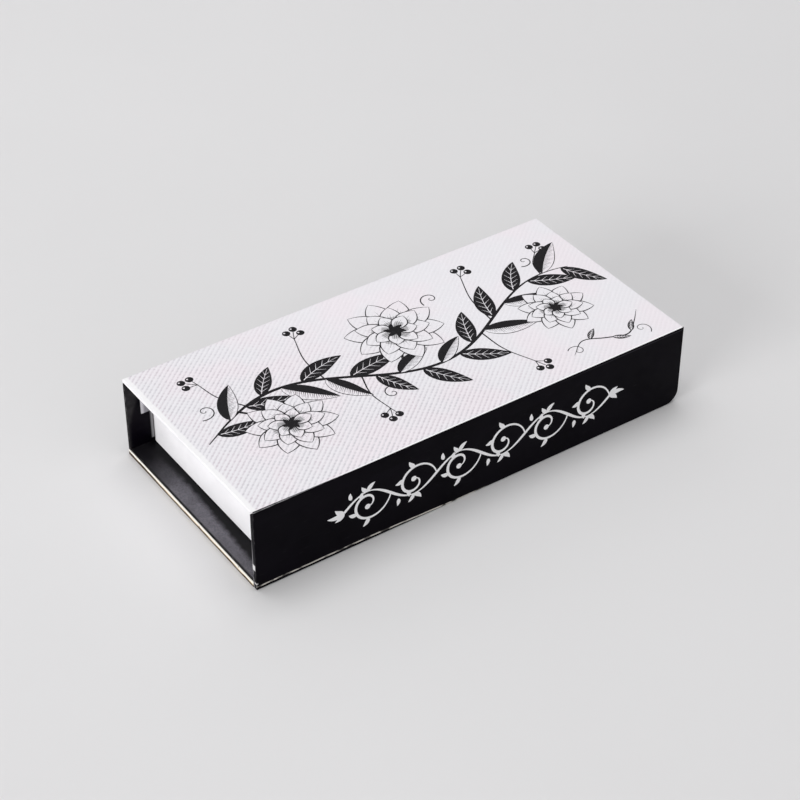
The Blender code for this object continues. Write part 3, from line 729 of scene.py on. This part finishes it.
class Print:
    """Inked strokes gathered into one mesh. Drawing points are in millimetres on the printed face."""

    def __init__(self, to_world):
        self.to_world = to_world
        self.count = 0
        self.vertices = []
        self.faces = []

    def stroke(self, points, widths, layer=0):
        """A flat stroke of given widths along a line of points, as a thin closed solid on a level of its own."""
        line = np.asarray(points, float)
        side = sideways(line) * np.broadcast_to(widths, len(line))[:, None] / 2
        upper = INK_LEVEL + (layer + 0.1 * (self.count % INK_CYCLE)) * INK_STEP
        self.count += 1
        lower = upper - INK_DEPTH
        start = len(self.vertices)
        for left, right in zip((line + side) * MM, (line - side) * MM):
            for place, level in ((left, upper), (right, upper), (right, lower), (left, lower)):
                self.vertices.append(self.to_world(*place, level))
        self.faces += tube_faces(start, len(self.vertices) - 4, 4)

    def curve(self, points, count, start, end, layer=0):
        """A smooth stroke through the points, whose width goes from start to end."""
        self.stroke(curve_points(points, count), np.linspace(start, end, count), layer)

    def leaf(self, place, angle, length, width, layer=0):
        """A small bent leaf in one stroke."""
        t = np.linspace(0, 1, 11)
        rib = turned(np.stack([t * length, 0.10 * length * np.sin(math.pi * t)], 1), angle, place)
        self.stroke(rib, 2 * leaf_half_width(t, width, 0.38) + 0.08, layer)

    def dot(self, place, radius, layer):
        angles = np.linspace(0.08, math.pi - 0.08, 7)
        line = np.stack([radius * np.cos(angles), np.zeros(7)], 1) + np.asarray(place, float)
        self.stroke(line, 2 * radius * np.sin(angles), layer)

    def piece(self, name, material, body, slot):
        return new_piece(name, mesh_from(name, self.vertices, self.faces), material, body, smooth=False)


def directions(line):
    """Unit directions along a line of points."""
    along = np.gradient(line, axis=0)
    return along / np.maximum(np.linalg.norm(along, axis=1, keepdims=True), 1e-9)


def sideways(line):
    """Unit directions to the left of a line of points."""
    along = directions(line)
    return np.stack([-along[:, 1], along[:, 0]], 1)


def curve_points(control, count):
    """Points along a smooth curve through the control points."""
    control = np.asarray(control, float)
    places = np.concatenate([[0], np.cumsum(np.linalg.norm(np.diff(control, axis=0), axis=1))])
    slopes = np.gradient(control, places, axis=0)
    at = np.linspace(0, places[-1], count)
    index = np.clip(np.searchsorted(places, at, side="right") - 1, 0, len(control) - 2)
    span = (places[index + 1] - places[index])[:, None]
    t = ((at - places[index])[:, None]) / span
    return (
        (2 * t ** 3 - 3 * t ** 2 + 1) * control[index]
        + (t ** 3 - 2 * t ** 2 + t) * span * slopes[index]
        + (3 * t ** 2 - 2 * t ** 3) * control[index + 1]
        + (t ** 3 - t ** 2) * span * slopes[index + 1]
    )


def spiral(centre, start_radius, end_radius, start, end, count):
    """Points of a curl that closes in on its centre."""
    t = np.linspace(0, 1, count)
    radius = start_radius * (end_radius / start_radius) ** t
    angle = start + (end - start) * t
    return np.stack([centre[0] + radius * np.cos(angle), centre[1] + radius * np.sin(angle)], 1)


def taper(count, widest, tip, power=1.0):
    """Widths that swell from a fine tip to the middle and back."""
    return tip + (widest - tip) * np.sin(math.pi * np.linspace(0, 1, count)) ** power


def turned(points, angle, place):
    cosine, sine = math.cos(angle), math.sin(angle)
    return points @ np.array([[cosine, sine], [-sine, cosine]]) + np.asarray(place, float)


def leaf_half_width(t, width, fullness=0.42):
    """Half the width of a pointed leaf at share t of its length."""
    power = math.log(0.5) / math.log(fullness)
    return width / 2 * np.sin(math.pi * np.clip(t, 0, 1) ** power) ** 0.85


def draw_leaf(black, white, place, angle, length, width, bend, solid, layer):
    """A leaf on a curved midrib: all solid with white veins, or one side solid and one hatched."""
    count = 15
    t = np.linspace(0, 1, count)
    half = leaf_half_width(t, width)
    rib = turned(np.stack([t * length, bend * length * t ** 2], 1), angle, place)
    along = directions(rib) * width
    side = sideways(rib) * half[:, None]
    left, right = rib + side, rib - side
    if solid:
        black.stroke(rib, half * 2 + 0.02, layer + 2)
        white.stroke(rib[1:-1], np.linspace(0.36, 0.12, count - 2), layer + 4)
        for index in range(2, count - 3, 2):
            for edge in (left, right):
                end = rib[index + 1] + (edge[index + 1] - rib[index + 1]) * 0.72 + along[index] * 0.16
                white.curve([rib[index], end], 4, 0.24, 0.07, layer + 4)
        return
    white.stroke(rib, half * 2 + 0.1, layer)
    black.stroke((rib + left) / 2, half + 0.04, layer + 2)
    black.stroke(rib, np.linspace(0.42, 0.12, count), layer + 2)
    black.stroke(right, taper(count, 0.30, 0.10), layer + 2)
    for index in range(1, count - 2):
        for share in (0.0, 0.5):
            base, edge = (line[index] * (1 - share) + line[index + 1] * share for line in (rib, right))
            end = base + (edge - base) * (0.62 if index % 2 else 0.86) + along[index] * 0.14
            black.curve([base, end], 4, 0.24, 0.05, layer + 3)


def draw_petal(black, white, wash, place, angle, length, width, layer):
    """A pointed petal: a plain ground, grey at its root, a swelling outline and fine lines from the root."""
    count = 13
    t = np.linspace(0, 1, count)
    half = leaf_half_width(t, width, 0.56)
    rib = np.stack([t * length, np.zeros(count)], 1)
    white.stroke(turned(rib, angle, place), half * 2, layer)
    wash.stroke(turned(rib[:8], angle, place), half[:8] * 1.55 * (1 - t[:8] ** 2), layer + 0.9)
    for sign in (1, -1):
        edge = np.stack([t * length, sign * half], 1)
        black.stroke(turned(edge, angle, place), taper(count, 0.50, 0.16, 0.8), layer + 2)
    for lane in range(-3, 4):
        reach = 0.74 - 0.16 * abs(lane) + (0.08 if lane % 2 else 0.0)
        u = np.linspace(0.10, reach, 6)
        line = np.stack([u * length, np.interp(u, t, half) * lane / 3.7], 1)
        black.stroke(turned(line, angle, place), np.linspace(0.36, 0.05, 6), layer + 2)


def draw_blossom(black, white, wash, place, radius, turn, layer):
    """A many-petalled blossom: three rings of petals over one another round a small dark heart."""
    for row, (count, reach, wide) in enumerate(((10, 1.0, 0.50), (9, 0.74, 0.42), (7, 0.48, 0.32))):
        for index in range(count):
            angle = turn + TURN * (index + 0.37 * row) / count
            length = radius * reach * (1 + 0.06 * math.sin(3.1 * index + row))
            draw_petal(black, white, wash, place, angle, length, radius * wide, layer + 34 * row + 3.2 * index)
    for index in range(6):
        black.leaf(place, turn + TURN * (index + 0.5) / 6, radius * 0.23, radius * 0.11, layer + 106)


def garland_stem(x):
    return 11.5 * np.sin(TURN * (x + 86.0) / 126.0) + 0.035 * x - 1.0


# The cover's drawing, in millimetres: blossoms (x, y, radius, turn), berries (foot, place, angle) and curls
# (centre, size, start, end)
BLOSSOMS = ((-58.0, -11.5, 17.0, 0.3), (4.0, 14.0, 19.5, 0.9), (63.0, -8.0, 14.5, 0.1))
BERRIES = (
    (-66.0, (-74.0, 27.0), 2.4), (-34.0, (-30.0, 31.0), 1.1), (30.0, (36.0, -31.0), -1.2),
    (38.0, (45.0, 29.0), 0.9), (-22.0, (-24.0, -24.0), -2.0), (72.0, (79.0, 26.0), 0.8),
)
CURLS = (
    ((-80.0, 12.0), 5.4, -2.2, 6.2), ((27.0, 23.5), 5.0, 3.6, -4.8),
    ((-18.0, -17.0), 5.0, 0.6, 8.6), ((72.0, 24.0), 4.2, -2.4, 5.0),
)
BERRY_RADIUS = 1.6


def draw_berries(black, white, foot, place, angle):
    """Three berries on a forked stalk."""
    x, y = place
    rise = garland_stem(foot)
    black.curve([(foot, rise), ((foot + x) / 2 - 2.0, (rise + y) / 2), place], 14, 0.6, 0.34)
    for offset, reach in ((-0.62, 0.85), (0.0, 1.15), (0.62, 0.85)):
        tip = np.array(place) + reach * 5.4 * np.array([math.cos(angle + offset), math.sin(angle + offset)])
        black.curve([place, tip], 6, 0.34, 0.24)
        black.dot(tip, BERRY_RADIUS, 4)
        white.dot(tip + (-0.34 * BERRY_RADIUS, 0.34 * BERRY_RADIUS), BERRY_RADIUS * 0.24, 5)


def make_cover_print(inks):
    """One garland along the whole lid, with blossoms, leaves, berries and curls."""
    def on_lid(x, y, level):
        return (x, y, TOP + level)

    black, white, wash = Print(on_lid), Print(on_lid), Print(on_lid)
    draw = random.Random(7)
    xs = np.linspace(-88, 84, 90)
    stem = np.stack([xs, garland_stem(xs)], 1)
    black.stroke(stem, np.interp(xs, (-88, -60, 40, 84), (0.4, 1.4, 1.2, 0.3)), 1)
    for x, y, _, _ in BLOSSOMS:
        foot = (x - 12.0, garland_stem(x - 12.0))
        neck = ((x + foot[0]) / 2 + 1.0, (y + foot[1]) / 2)
        black.curve([foot, neck, (x, y)], 12, 1.1, 0.7)
    side = 1
    for index, x in enumerate(np.arange(-83, 82, 8.2)):
        slope = math.atan2(garland_stem(x + 0.5) - garland_stem(x - 0.5), 1.0)
        side = -side
        angle = slope + side * draw.uniform(0.72, 1.02)
        length = draw.uniform(17.0, 23.5)
        solid = index % 5 not in (1, 4)
        bend = -side * draw.uniform(0.10, 0.24)
        place = (x, garland_stem(x))
        draw_leaf(black, white, place, angle, length, length * 0.37, bend, solid, 3 + 7 * (index % 3))
    for foot, place, angle in BERRIES:
        draw_berries(black, white, foot, place, angle)
    for centre, size, start, end in CURLS:
        black.stroke(spiral(centre, size, 0.5, start, end, 34), np.linspace(0.50, 0.22, 34), 0)
    for x, y, radius, turn in BLOSSOMS:
        draw_blossom(black, white, wash, (x, y), radius, turn, 28)
    make_flourish(black, white)
    black.piece("cover_print_black", inks["black"], "lid", "black_coated_paper")
    white.piece("cover_print_reserve", inks["reserve"], "lid", "white_ribbed_paper")
    wash.piece("cover_print_wash", inks["wash"], "lid", "white_ribbed_paper")


def make_flourish(black, white):
    """A small pen curl with three leaves, low at the right."""
    pen = [(50.0, -36.5), (58.0, -31.0), (67.0, -34.5), (75.0, -37.0), (82.0, -32.0), (87.5, -26.5)]
    black.stroke(curve_points(pen, 40), taper(40, 0.62, 0.12), 0)
    black.stroke(spiral((53.0, -35.0), 4.0, 0.5, 2.6, -5.2, 30), np.linspace(0.34, 0.16, 30), 0)
    black.stroke(spiral((81.5, -37.0), 4.2, 0.5, -1.2, 6.4, 30), np.linspace(0.36, 0.14, 30), 0)
    for x, y, angle, bend in ((61.0, -31.8, 0.9, -0.2), (69.0, -35.2, -0.7, 0.2), (77.5, -36.2, 1.1, -0.2)):
        draw_leaf(black, white, (x, y), angle, 7.0, 2.5, bend, True, 2)


# The flap's frieze, in millimetres: level of its middle, swing of its stem, length of a curl, start and curls
FRIEZE_MIDDLE = 17.7
FRIEZE_SWING = 5.2
FRIEZE_STEP = 19.8
FRIEZE_START = -58.5
FRIEZE_CURLS = 6


def make_front_print(material):
    """A running scroll in pale foil along the flap: curls that turn under and over by turns, with leaves."""
    def on_flap(x, z, level):
        return (x, FRONT - level, z)

    foil = Print(on_flap)
    xs = np.linspace(FRIEZE_START, FRIEZE_START + FRIEZE_CURLS * FRIEZE_STEP, 20 * FRIEZE_CURLS + 1)
    phase = (xs - FRIEZE_START) / FRIEZE_STEP * math.pi
    stem = np.stack([xs, FRIEZE_MIDDLE + FRIEZE_SWING * np.sin(phase)], 1)
    foil.stroke(stem, 0.38 + 0.72 * np.abs(np.cos(phase)) ** 1.5, 0)
    for index in range(FRIEZE_CURLS):
        side = 1 if index % 2 == 0 else -1
        centre = (FRIEZE_START + (index + 0.5) * FRIEZE_STEP, FRIEZE_MIDDLE)
        curl = spiral(centre, FRIEZE_STEP / 2, 1.7, 0.0, -side * 2.5 * math.pi, 48)
        foil.stroke(curl, 0.30 + 0.85 * np.sin(np.linspace(0.12, 1, 48) * math.pi) ** 1.4, 1)
        foil.dot(curl[-1], 1.15, 2)
        for at, lean, reach in ((9, 0.75, 4.0), (15, 0.95, 3.6), (24, 0.9, 2.6)):
            away = math.atan2(curl[at][1] - centre[1], curl[at][0] - centre[0])
            foil.leaf(curl[at], away - side * lean, reach, 1.7, 2)
        crest = (centre[0], FRIEZE_MIDDLE + side * FRIEZE_SWING)
        shoulder = (centre[0] - 0.34 * FRIEZE_STEP, FRIEZE_MIDDLE + side * FRIEZE_SWING * 0.85)
        foil.leaf(crest, side * 0.75, 4.4, 1.8, 2)
        foil.leaf(crest, side * 2.25, 3.8, 1.6, 2)
        foil.leaf(shoulder, side * 1.7, 3.2, 1.5, 2)
    for end, angle in ((xs[0], math.pi), (xs[-1], 0.0)):
        for lean, reach in ((-0.62, 4.6), (0.0, 7.0), (0.62, 4.6)):
            foil.leaf((end, FRIEZE_MIDDLE), angle + lean, reach, 1.9, 3)
    foil.piece("front_print_foil", material, "flap", "black_coated_paper")


# Pieces inside

# Colour and shimmer of each powder
POWDERS = (
    ((0.80, 0.62, 0.50), 0.9), ((0.66, 0.36, 0.26), 0.2), ((0.50, 0.20, 0.13), 0.0),
    ((0.30, 0.12, 0.085), 0.9), ((0.110, 0.050, 0.040), 0.1), ((0.84, 0.69, 0.63), 0.2),
    ((0.66, 0.33, 0.33), 0.9), ((0.42, 0.145, 0.20), 0.1), ((0.36, 0.26, 0.29), 0.9),
    ((0.045, 0.040, 0.045), 0.1),
)
CAKE_RINGS = 30
CAKE_SECTORS = 96


def cake_mesh(name, centre, radius, bottom, height):
    """A round cake with relief on top: height gives each point's level from its radius share and angle."""
    vertices = [(centre.x, centre.y, height(0.0, 0.0))]
    for ring in range(1, CAKE_RINGS + 2):
        share = min(ring / CAKE_RINGS, 1.0)
        for sector in range(CAKE_SECTORS):
            angle = TURN * sector / CAKE_SECTORS
            x, y = centre.x + radius * share * math.cos(angle), centre.y + radius * share * math.sin(angle)
            vertices.append((x, y, height(share, angle) if ring <= CAKE_RINGS else bottom))
    base = len(vertices) - CAKE_SECTORS
    faces = [(0, 1 + sector, 1 + (sector + 1) % CAKE_SECTORS) for sector in range(CAKE_SECTORS)]
    faces += tube_faces(1, base, CAKE_SECTORS, closed=False)
    faces.append(tuple(range(base, base + CAKE_SECTORS)))
    return mesh_from(name, vertices, faces)


def bell(value, middle, width):
    return math.exp(-((value - middle) / width) ** 2)


def rosette(share, angle, petals):
    """Relief of a pressed flower inside a ring, in millimetres."""
    flower = 0.62 + 0.16 * abs(math.cos(petals * angle / 2))
    wall = 1 / (1 + math.exp((share - flower) * 42))
    vein = 0.06 * math.cos(petals * 4 * angle) * wall * min(1.0, share * 3)
    return 0.24 * wall + vein + 0.20 * bell(share, 0.86, 0.022) + 0.12 * bell(share, 0.0, 0.10)


def basket(share, angle):
    """Relief of a woven field inside a ring, in millimetres."""
    x, y = share * math.cos(angle), share * math.sin(angle)
    weave = math.sin(21 * (x + y)) * math.sin(21 * (x - y))
    inside = 1 / (1 + math.exp((share - 0.80) * 60))
    return 0.12 * inside + 0.10 * weave * inside + 0.20 * bell(share, 0.87, 0.022)


def make_powders():
    """Pressed cakes, each with a rosette or with a woven field."""
    for index, (colour, shimmer) in enumerate(POWDERS):
        number = f"{index + 1:02d}"
        low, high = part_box("powder_" + number)
        petals = 8 if index % 2 else 6
        woven = index % 3 == 1

        def height(share, angle, ground=high.z - 0.42 * MM, petals=petals, woven=woven):
            edge = max(0.0, (share - 0.93) / 0.07)
            relief = basket(share, angle) if woven else rosette(share, angle, petals)
            return ground + MM * (relief - 0.40 * edge ** 2)

        mesh = cake_mesh("pressed_" + number, (low + high) / 2, (high.x - low.x) / 2, low.z, height)
        material = pressed_powder("powder_cake_" + number, colour, shimmer)
        cake = new_piece("powder_cake_" + number, mesh, material, "case")
        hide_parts("powder_" + number)


def revolve(name, profile, start, sectors, squeeze=1.0):
    """A closed turned shape along X from (run, radius) points, with its ends on the axis."""
    vertices = []
    for run, radius in profile[1:-1]:
        for sector in range(sectors):
            angle = TURN * sector / sectors
            y = start.y + radius * squeeze * math.cos(angle)
            vertices.append((start.x + run, y, start.z + radius * math.sin(angle)))
    first = len(vertices)
    last = first - sectors
    vertices += [(start.x + run, start.y, start.z) for run, _ in (profile[0], profile[-1])]
    faces = tube_faces(0, last, sectors, closed=False)
    for sector in range(sectors):
        after = (sector + 1) % sectors
        faces += [(first, after, sector), (first + 1, last + sector, last + after)]
    return mesh_from(name, vertices, faces)


def tip_measures(node, ferrule_end):
    """Where a brush tip leaves its ferrule, on the brush's axis, and the tip's largest radius."""
    low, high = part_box(node)
    return Vector((ferrule_end, (low.y + high.y) / 2, (low.z + high.z) / 2)), (high.z - low.z) / 2


def tuft_radius(share, root, widest, rounding=0.68):
    """Radius of the hair's outline at a share of its free length."""
    if share <= rounding:
        return root + (widest - root) * math.sin(share / rounding * math.pi / 2)
    return widest * math.sqrt(max(0.0, 1 - ((share - rounding) / (1 - rounding)) ** 2))


# The tips of the brush: hairs, steps along a hair and sides round it, its radius, the tuft's radius at its
# root, the sponge's at its neck, and how far both reach into their ferrules
HAIRS = 620
HAIR_STEPS = 7
HAIR_SIDES = 3
HAIR_RADIUS = 0.085 * MM
TUFT_ROOT = 2.35 * MM
SPONGE_NECK = 1.85 * MM
IN_FERRULE = 3.0 * MM


def make_hair():
    """Tapering hairs round a dark core, in the space of the solid tuft."""
    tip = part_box("hair_tuft")[1].x
    axis, widest = tip_measures("hair_tuft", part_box("hair_ferrule")[1].x)
    free = tip - axis.x
    draw = random.Random(3)
    core = [(-IN_FERRULE, 0.0), (-IN_FERRULE, TUFT_ROOT * 0.9)]
    for share in np.linspace(0.02, 0.90, 14):
        core.append((free * share, 0.86 * tuft_radius(share, TUFT_ROOT, widest)))
    core.append((free * 0.93, 0.0))
    vertices, faces = [], []
    for _ in range(HAIRS):
        ring = 0.55 + 0.45 * math.sqrt(draw.random())
        angle = TURN * draw.random()
        reach = 0.68 + 0.32 * math.sqrt(max(0.0, 1 - ring ** 2)) + 0.03 * (draw.random() - 0.8)
        lean = 0.10 * (draw.random() - 0.5)
        thick = HAIR_RADIUS * draw.uniform(0.75, 1.2)
        start = len(vertices)
        for step in range(HAIR_STEPS + 1):
            share = step / HAIR_STEPS
            along = share * reach
            out = ring * 0.965 * tuft_radius(min(along, 0.985), TUFT_ROOT, widest)
            bent = angle + lean * share ** 2
            middle = axis + Vector((free * along, out * math.cos(bent), out * math.sin(bent)))
            radius = thick * (1 - 0.8 * share ** 1.5)
            for side in range(HAIR_SIDES):
                turn = TURN * side / HAIR_SIDES + bent
                vertices.append(middle + Vector((0, radius * math.cos(turn), radius * math.sin(turn))))
        faces += tube_faces(start, len(vertices) - HAIR_SIDES, HAIR_SIDES)
    material = hair(tip)
    tuft = new_piece("tuft_hairs", mesh_from("tuft_hairs", vertices, faces), material, "brush")
    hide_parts("hair_tuft")
    new_piece("tuft_core", revolve("tuft_core", core, axis, 40), material, "brush")


def make_sponge():
    """The applicator's foam: a blunt flattened bulb with a soft neck at the ferrule."""
    axis, widest = tip_measures("sponge_tip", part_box("sponge_ferrule")[0].x)
    free = axis.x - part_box("sponge_tip")[0].x
    profile = [(IN_FERRULE, 0.0), (IN_FERRULE, SPONGE_NECK)]
    for share in np.linspace(0.0, 0.985, 22):
        profile.append((-free * share, tuft_radius(share, SPONGE_NECK, widest * 0.99, 0.55)))
    profile.append((-free, 0.0))
    mesh = revolve("sponge_bulb", profile, axis, 48, 0.86)
    bulb = new_piece("sponge_bulb", mesh, sponge(), "brush")
    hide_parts("sponge_tip")


def soft_plate(name, node, rounding, material, body, segments=4):
    """A finer copy of a flat node with rounded edges, in the node's place."""
    mesh = NODES[node].data.copy()
    mesh.name = name
    shape = bmesh.new()
    shape.from_mesh(mesh)
    bmesh.ops.remove_doubles(shape, verts=shape.verts, dist=0.002 * MM)
    bmesh.ops.dissolve_limit(shape, angle_limit=0.02, verts=shape.verts, edges=shape.edges)
    joined = [edge for edge in shape.edges if len(edge.link_faces) == 2]
    sharp = [edge for edge in joined if edge.calc_face_angle() > PLATE_EDGE_ANGLE]
    bmesh.ops.bevel(shape, geom=sharp, offset=rounding, segments=segments, affect="EDGES", profile=0.5)
    bmesh.ops.triangulate(shape, faces=[face for face in shape.faces if len(face.verts) > 4])
    shape.to_mesh(mesh)
    shape.free()
    piece = new_piece(name, mesh, material, body)
    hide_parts(node)
    return piece


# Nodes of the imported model

def dress(nodes, material):
    """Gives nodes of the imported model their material."""
    for node in nodes:
        mesh = NODES[node].data
        mesh.materials.clear()
        mesh.materials.append(material)


def dress_nodes():
    """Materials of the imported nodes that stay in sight."""
    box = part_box
    dress(["lid_board"], white_paper("lid_edge_paper", (0.84, 0.83, 0.85), *box("lid_board"), gloss=0.25))
    dress(["flap_board"], flap_paper())
    dress(["spine_board"], black_paper("spine_black_paper", SPINE_LOW, SPINE_HIGH, spine_marks))
    dress(["base_board"], base_board_paper())
    dress(["base_liner"], base_liner_paper(*box("base_liner")))
    dress(["spine_strip"], strip_paper())
    dress(["lid_liner"], white_paper("lid_liner_paper", (0.84, 0.83, 0.85), *box("lid_liner")))
    for node in ("flap_liner", "well_wall", "mirror_frame"):
        dress([node], black_paper(node + "_paper", *box(node)))
    # the tray's papers get painted shade by the back corners of its ends
    corner = box("tray_back_wall")[1]
    for node in ("tray_front_wall", "tray_back_wall", "tray_left_wall", "tray_right_wall", "tray_floor"):
        dress([node], white_paper(node + "_paper", (0.935, 0.925, 0.945), *box(node), shaded_corner=corner))
    dress(["riser_front", "riser_back", "pan_bed"], grey_board())
    tins = ["strike_disc_left", "strike_disc_right"] + [f"pan_{number:02d}" for number in range(1, 11)]
    dress(tins, metal("pan_tin", (0.66, 0.66, 0.67), 0.26))
    dress(["magnet_left", "magnet_right"], metal("magnet_nickel", (0.56, 0.55, 0.53), 0.22))
    dress(["mirror"], mirror_glass())
    dress(["brush_handle"], lacquer(*box("brush_handle")))
    dress(["hair_ferrule", "sponge_ferrule"], metal("ferrule_rose", (0.86, 0.58, 0.49), 0.17, (0.15, 1, 1), 0.4))


# Studio

def make_floor():
    """A pale sheet that lies under the box and curves up behind it."""
    near, far, side, bend, rise, steps = -1.6, 0.9, 2.6, 0.7, 1.5, 12
    rows = [(near, 0.0), (far, 0.0)]
    for step in range(1, steps + 1):
        turn = step / steps * math.pi / 2
        rows.append((far + bend * math.sin(turn), bend * (1 - math.cos(turn))))
    rows.append((far + bend, bend + rise))
    vertices = [(x, y, z) for y, z in rows for x in (-side, side)]
    faces = [(here, here + 1, here + 3, here + 2) for here in range(0, 2 * len(rows) - 2, 2)]
    mesh = mesh_from("studio_floor", vertices, faces)
    floor = bpy.data.objects.new("studio_floor", mesh)
    bpy.context.scene.collection.objects.link(floor)
    mesh.materials.append(floor_paint())
    mesh.shade_smooth()


def add_light(name, place, target, size, power):
    light = bpy.data.lights.new(name, "AREA")
    light.shape = "RECTANGLE"
    light.size, light.size_y = size
    light.energy = power
    obj = bpy.data.objects.new(name, light)
    obj.location = place
    obj.rotation_euler = (Vector(target) - Vector(place)).to_track_quat("-Z", "Y").to_euler()
    bpy.context.scene.collection.objects.link(obj)


def make_studio():
    """A pale world, two lamps, and the camera as it was fitted to the photograph."""
    scene = bpy.context.scene
    world = bpy.data.worlds.new("studio")
    scene.world = world
    world.use_nodes = True
    background = world.node_tree.nodes["Background"].inputs
    background["Color"].default_value = (1.0, 0.995, 1.0, 1)
    background["Strength"].default_value = 0.40
    add_light("key", place=(-2.60, -0.55, 0.85), target=(0, 0, 0.02), size=(1.6, 1.0), power=47.0)
    add_light("top", place=(0.10, 0.35, 2.00), target=(0, 0, 0), size=(1.8, 1.4), power=20.5)
    camera = bpy.data.cameras.new("camera")
    camera.sensor_width = 36.0
    camera.lens = 96.76
    holder = bpy.data.objects.new("camera", camera)
    holder.location = (-0.36538, -0.52605, 0.50906)
    holder.rotation_euler = (math.radians(52.234), 0, math.radians(-34.537))
    scene.collection.objects.link(holder)
    scene.camera = holder
    scene.view_settings.view_transform = "Standard"


# The object

dress_nodes()
make_ribbed_sheet(ribbed_paper())
front = crease_strip("front_crease", front_crease_path(), FRONT_COLUMNS, front_crease_paper())
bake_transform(front)
back = crease_strip("back_crease", back_crease_path(), BACK_COLUMNS, back_crease_paper())
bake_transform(back)
make_cover_print({
    "reserve": ribbed_paper(),
    "black": ink("print_black", (0.0060, 0.0052, 0.0070), 0.50, 0.15),
    "wash": ink("print_wash", (0.50, 0.49, 0.51), 0.55, 0.3),
})
make_front_print(ink("print_foil", (0.95, 0.945, 0.96), 0.45, 0.4))
make_powders()
make_hair()
make_sponge()
soft_plate("deck_foam", "pan_deck", 0.25 * MM, foam("deck_foam"), "case", 2)
soft_plate("brush_cushion", "brush_bed", 0.55 * MM, foam("brush_foam"), "case")
make_floor()
make_studio()
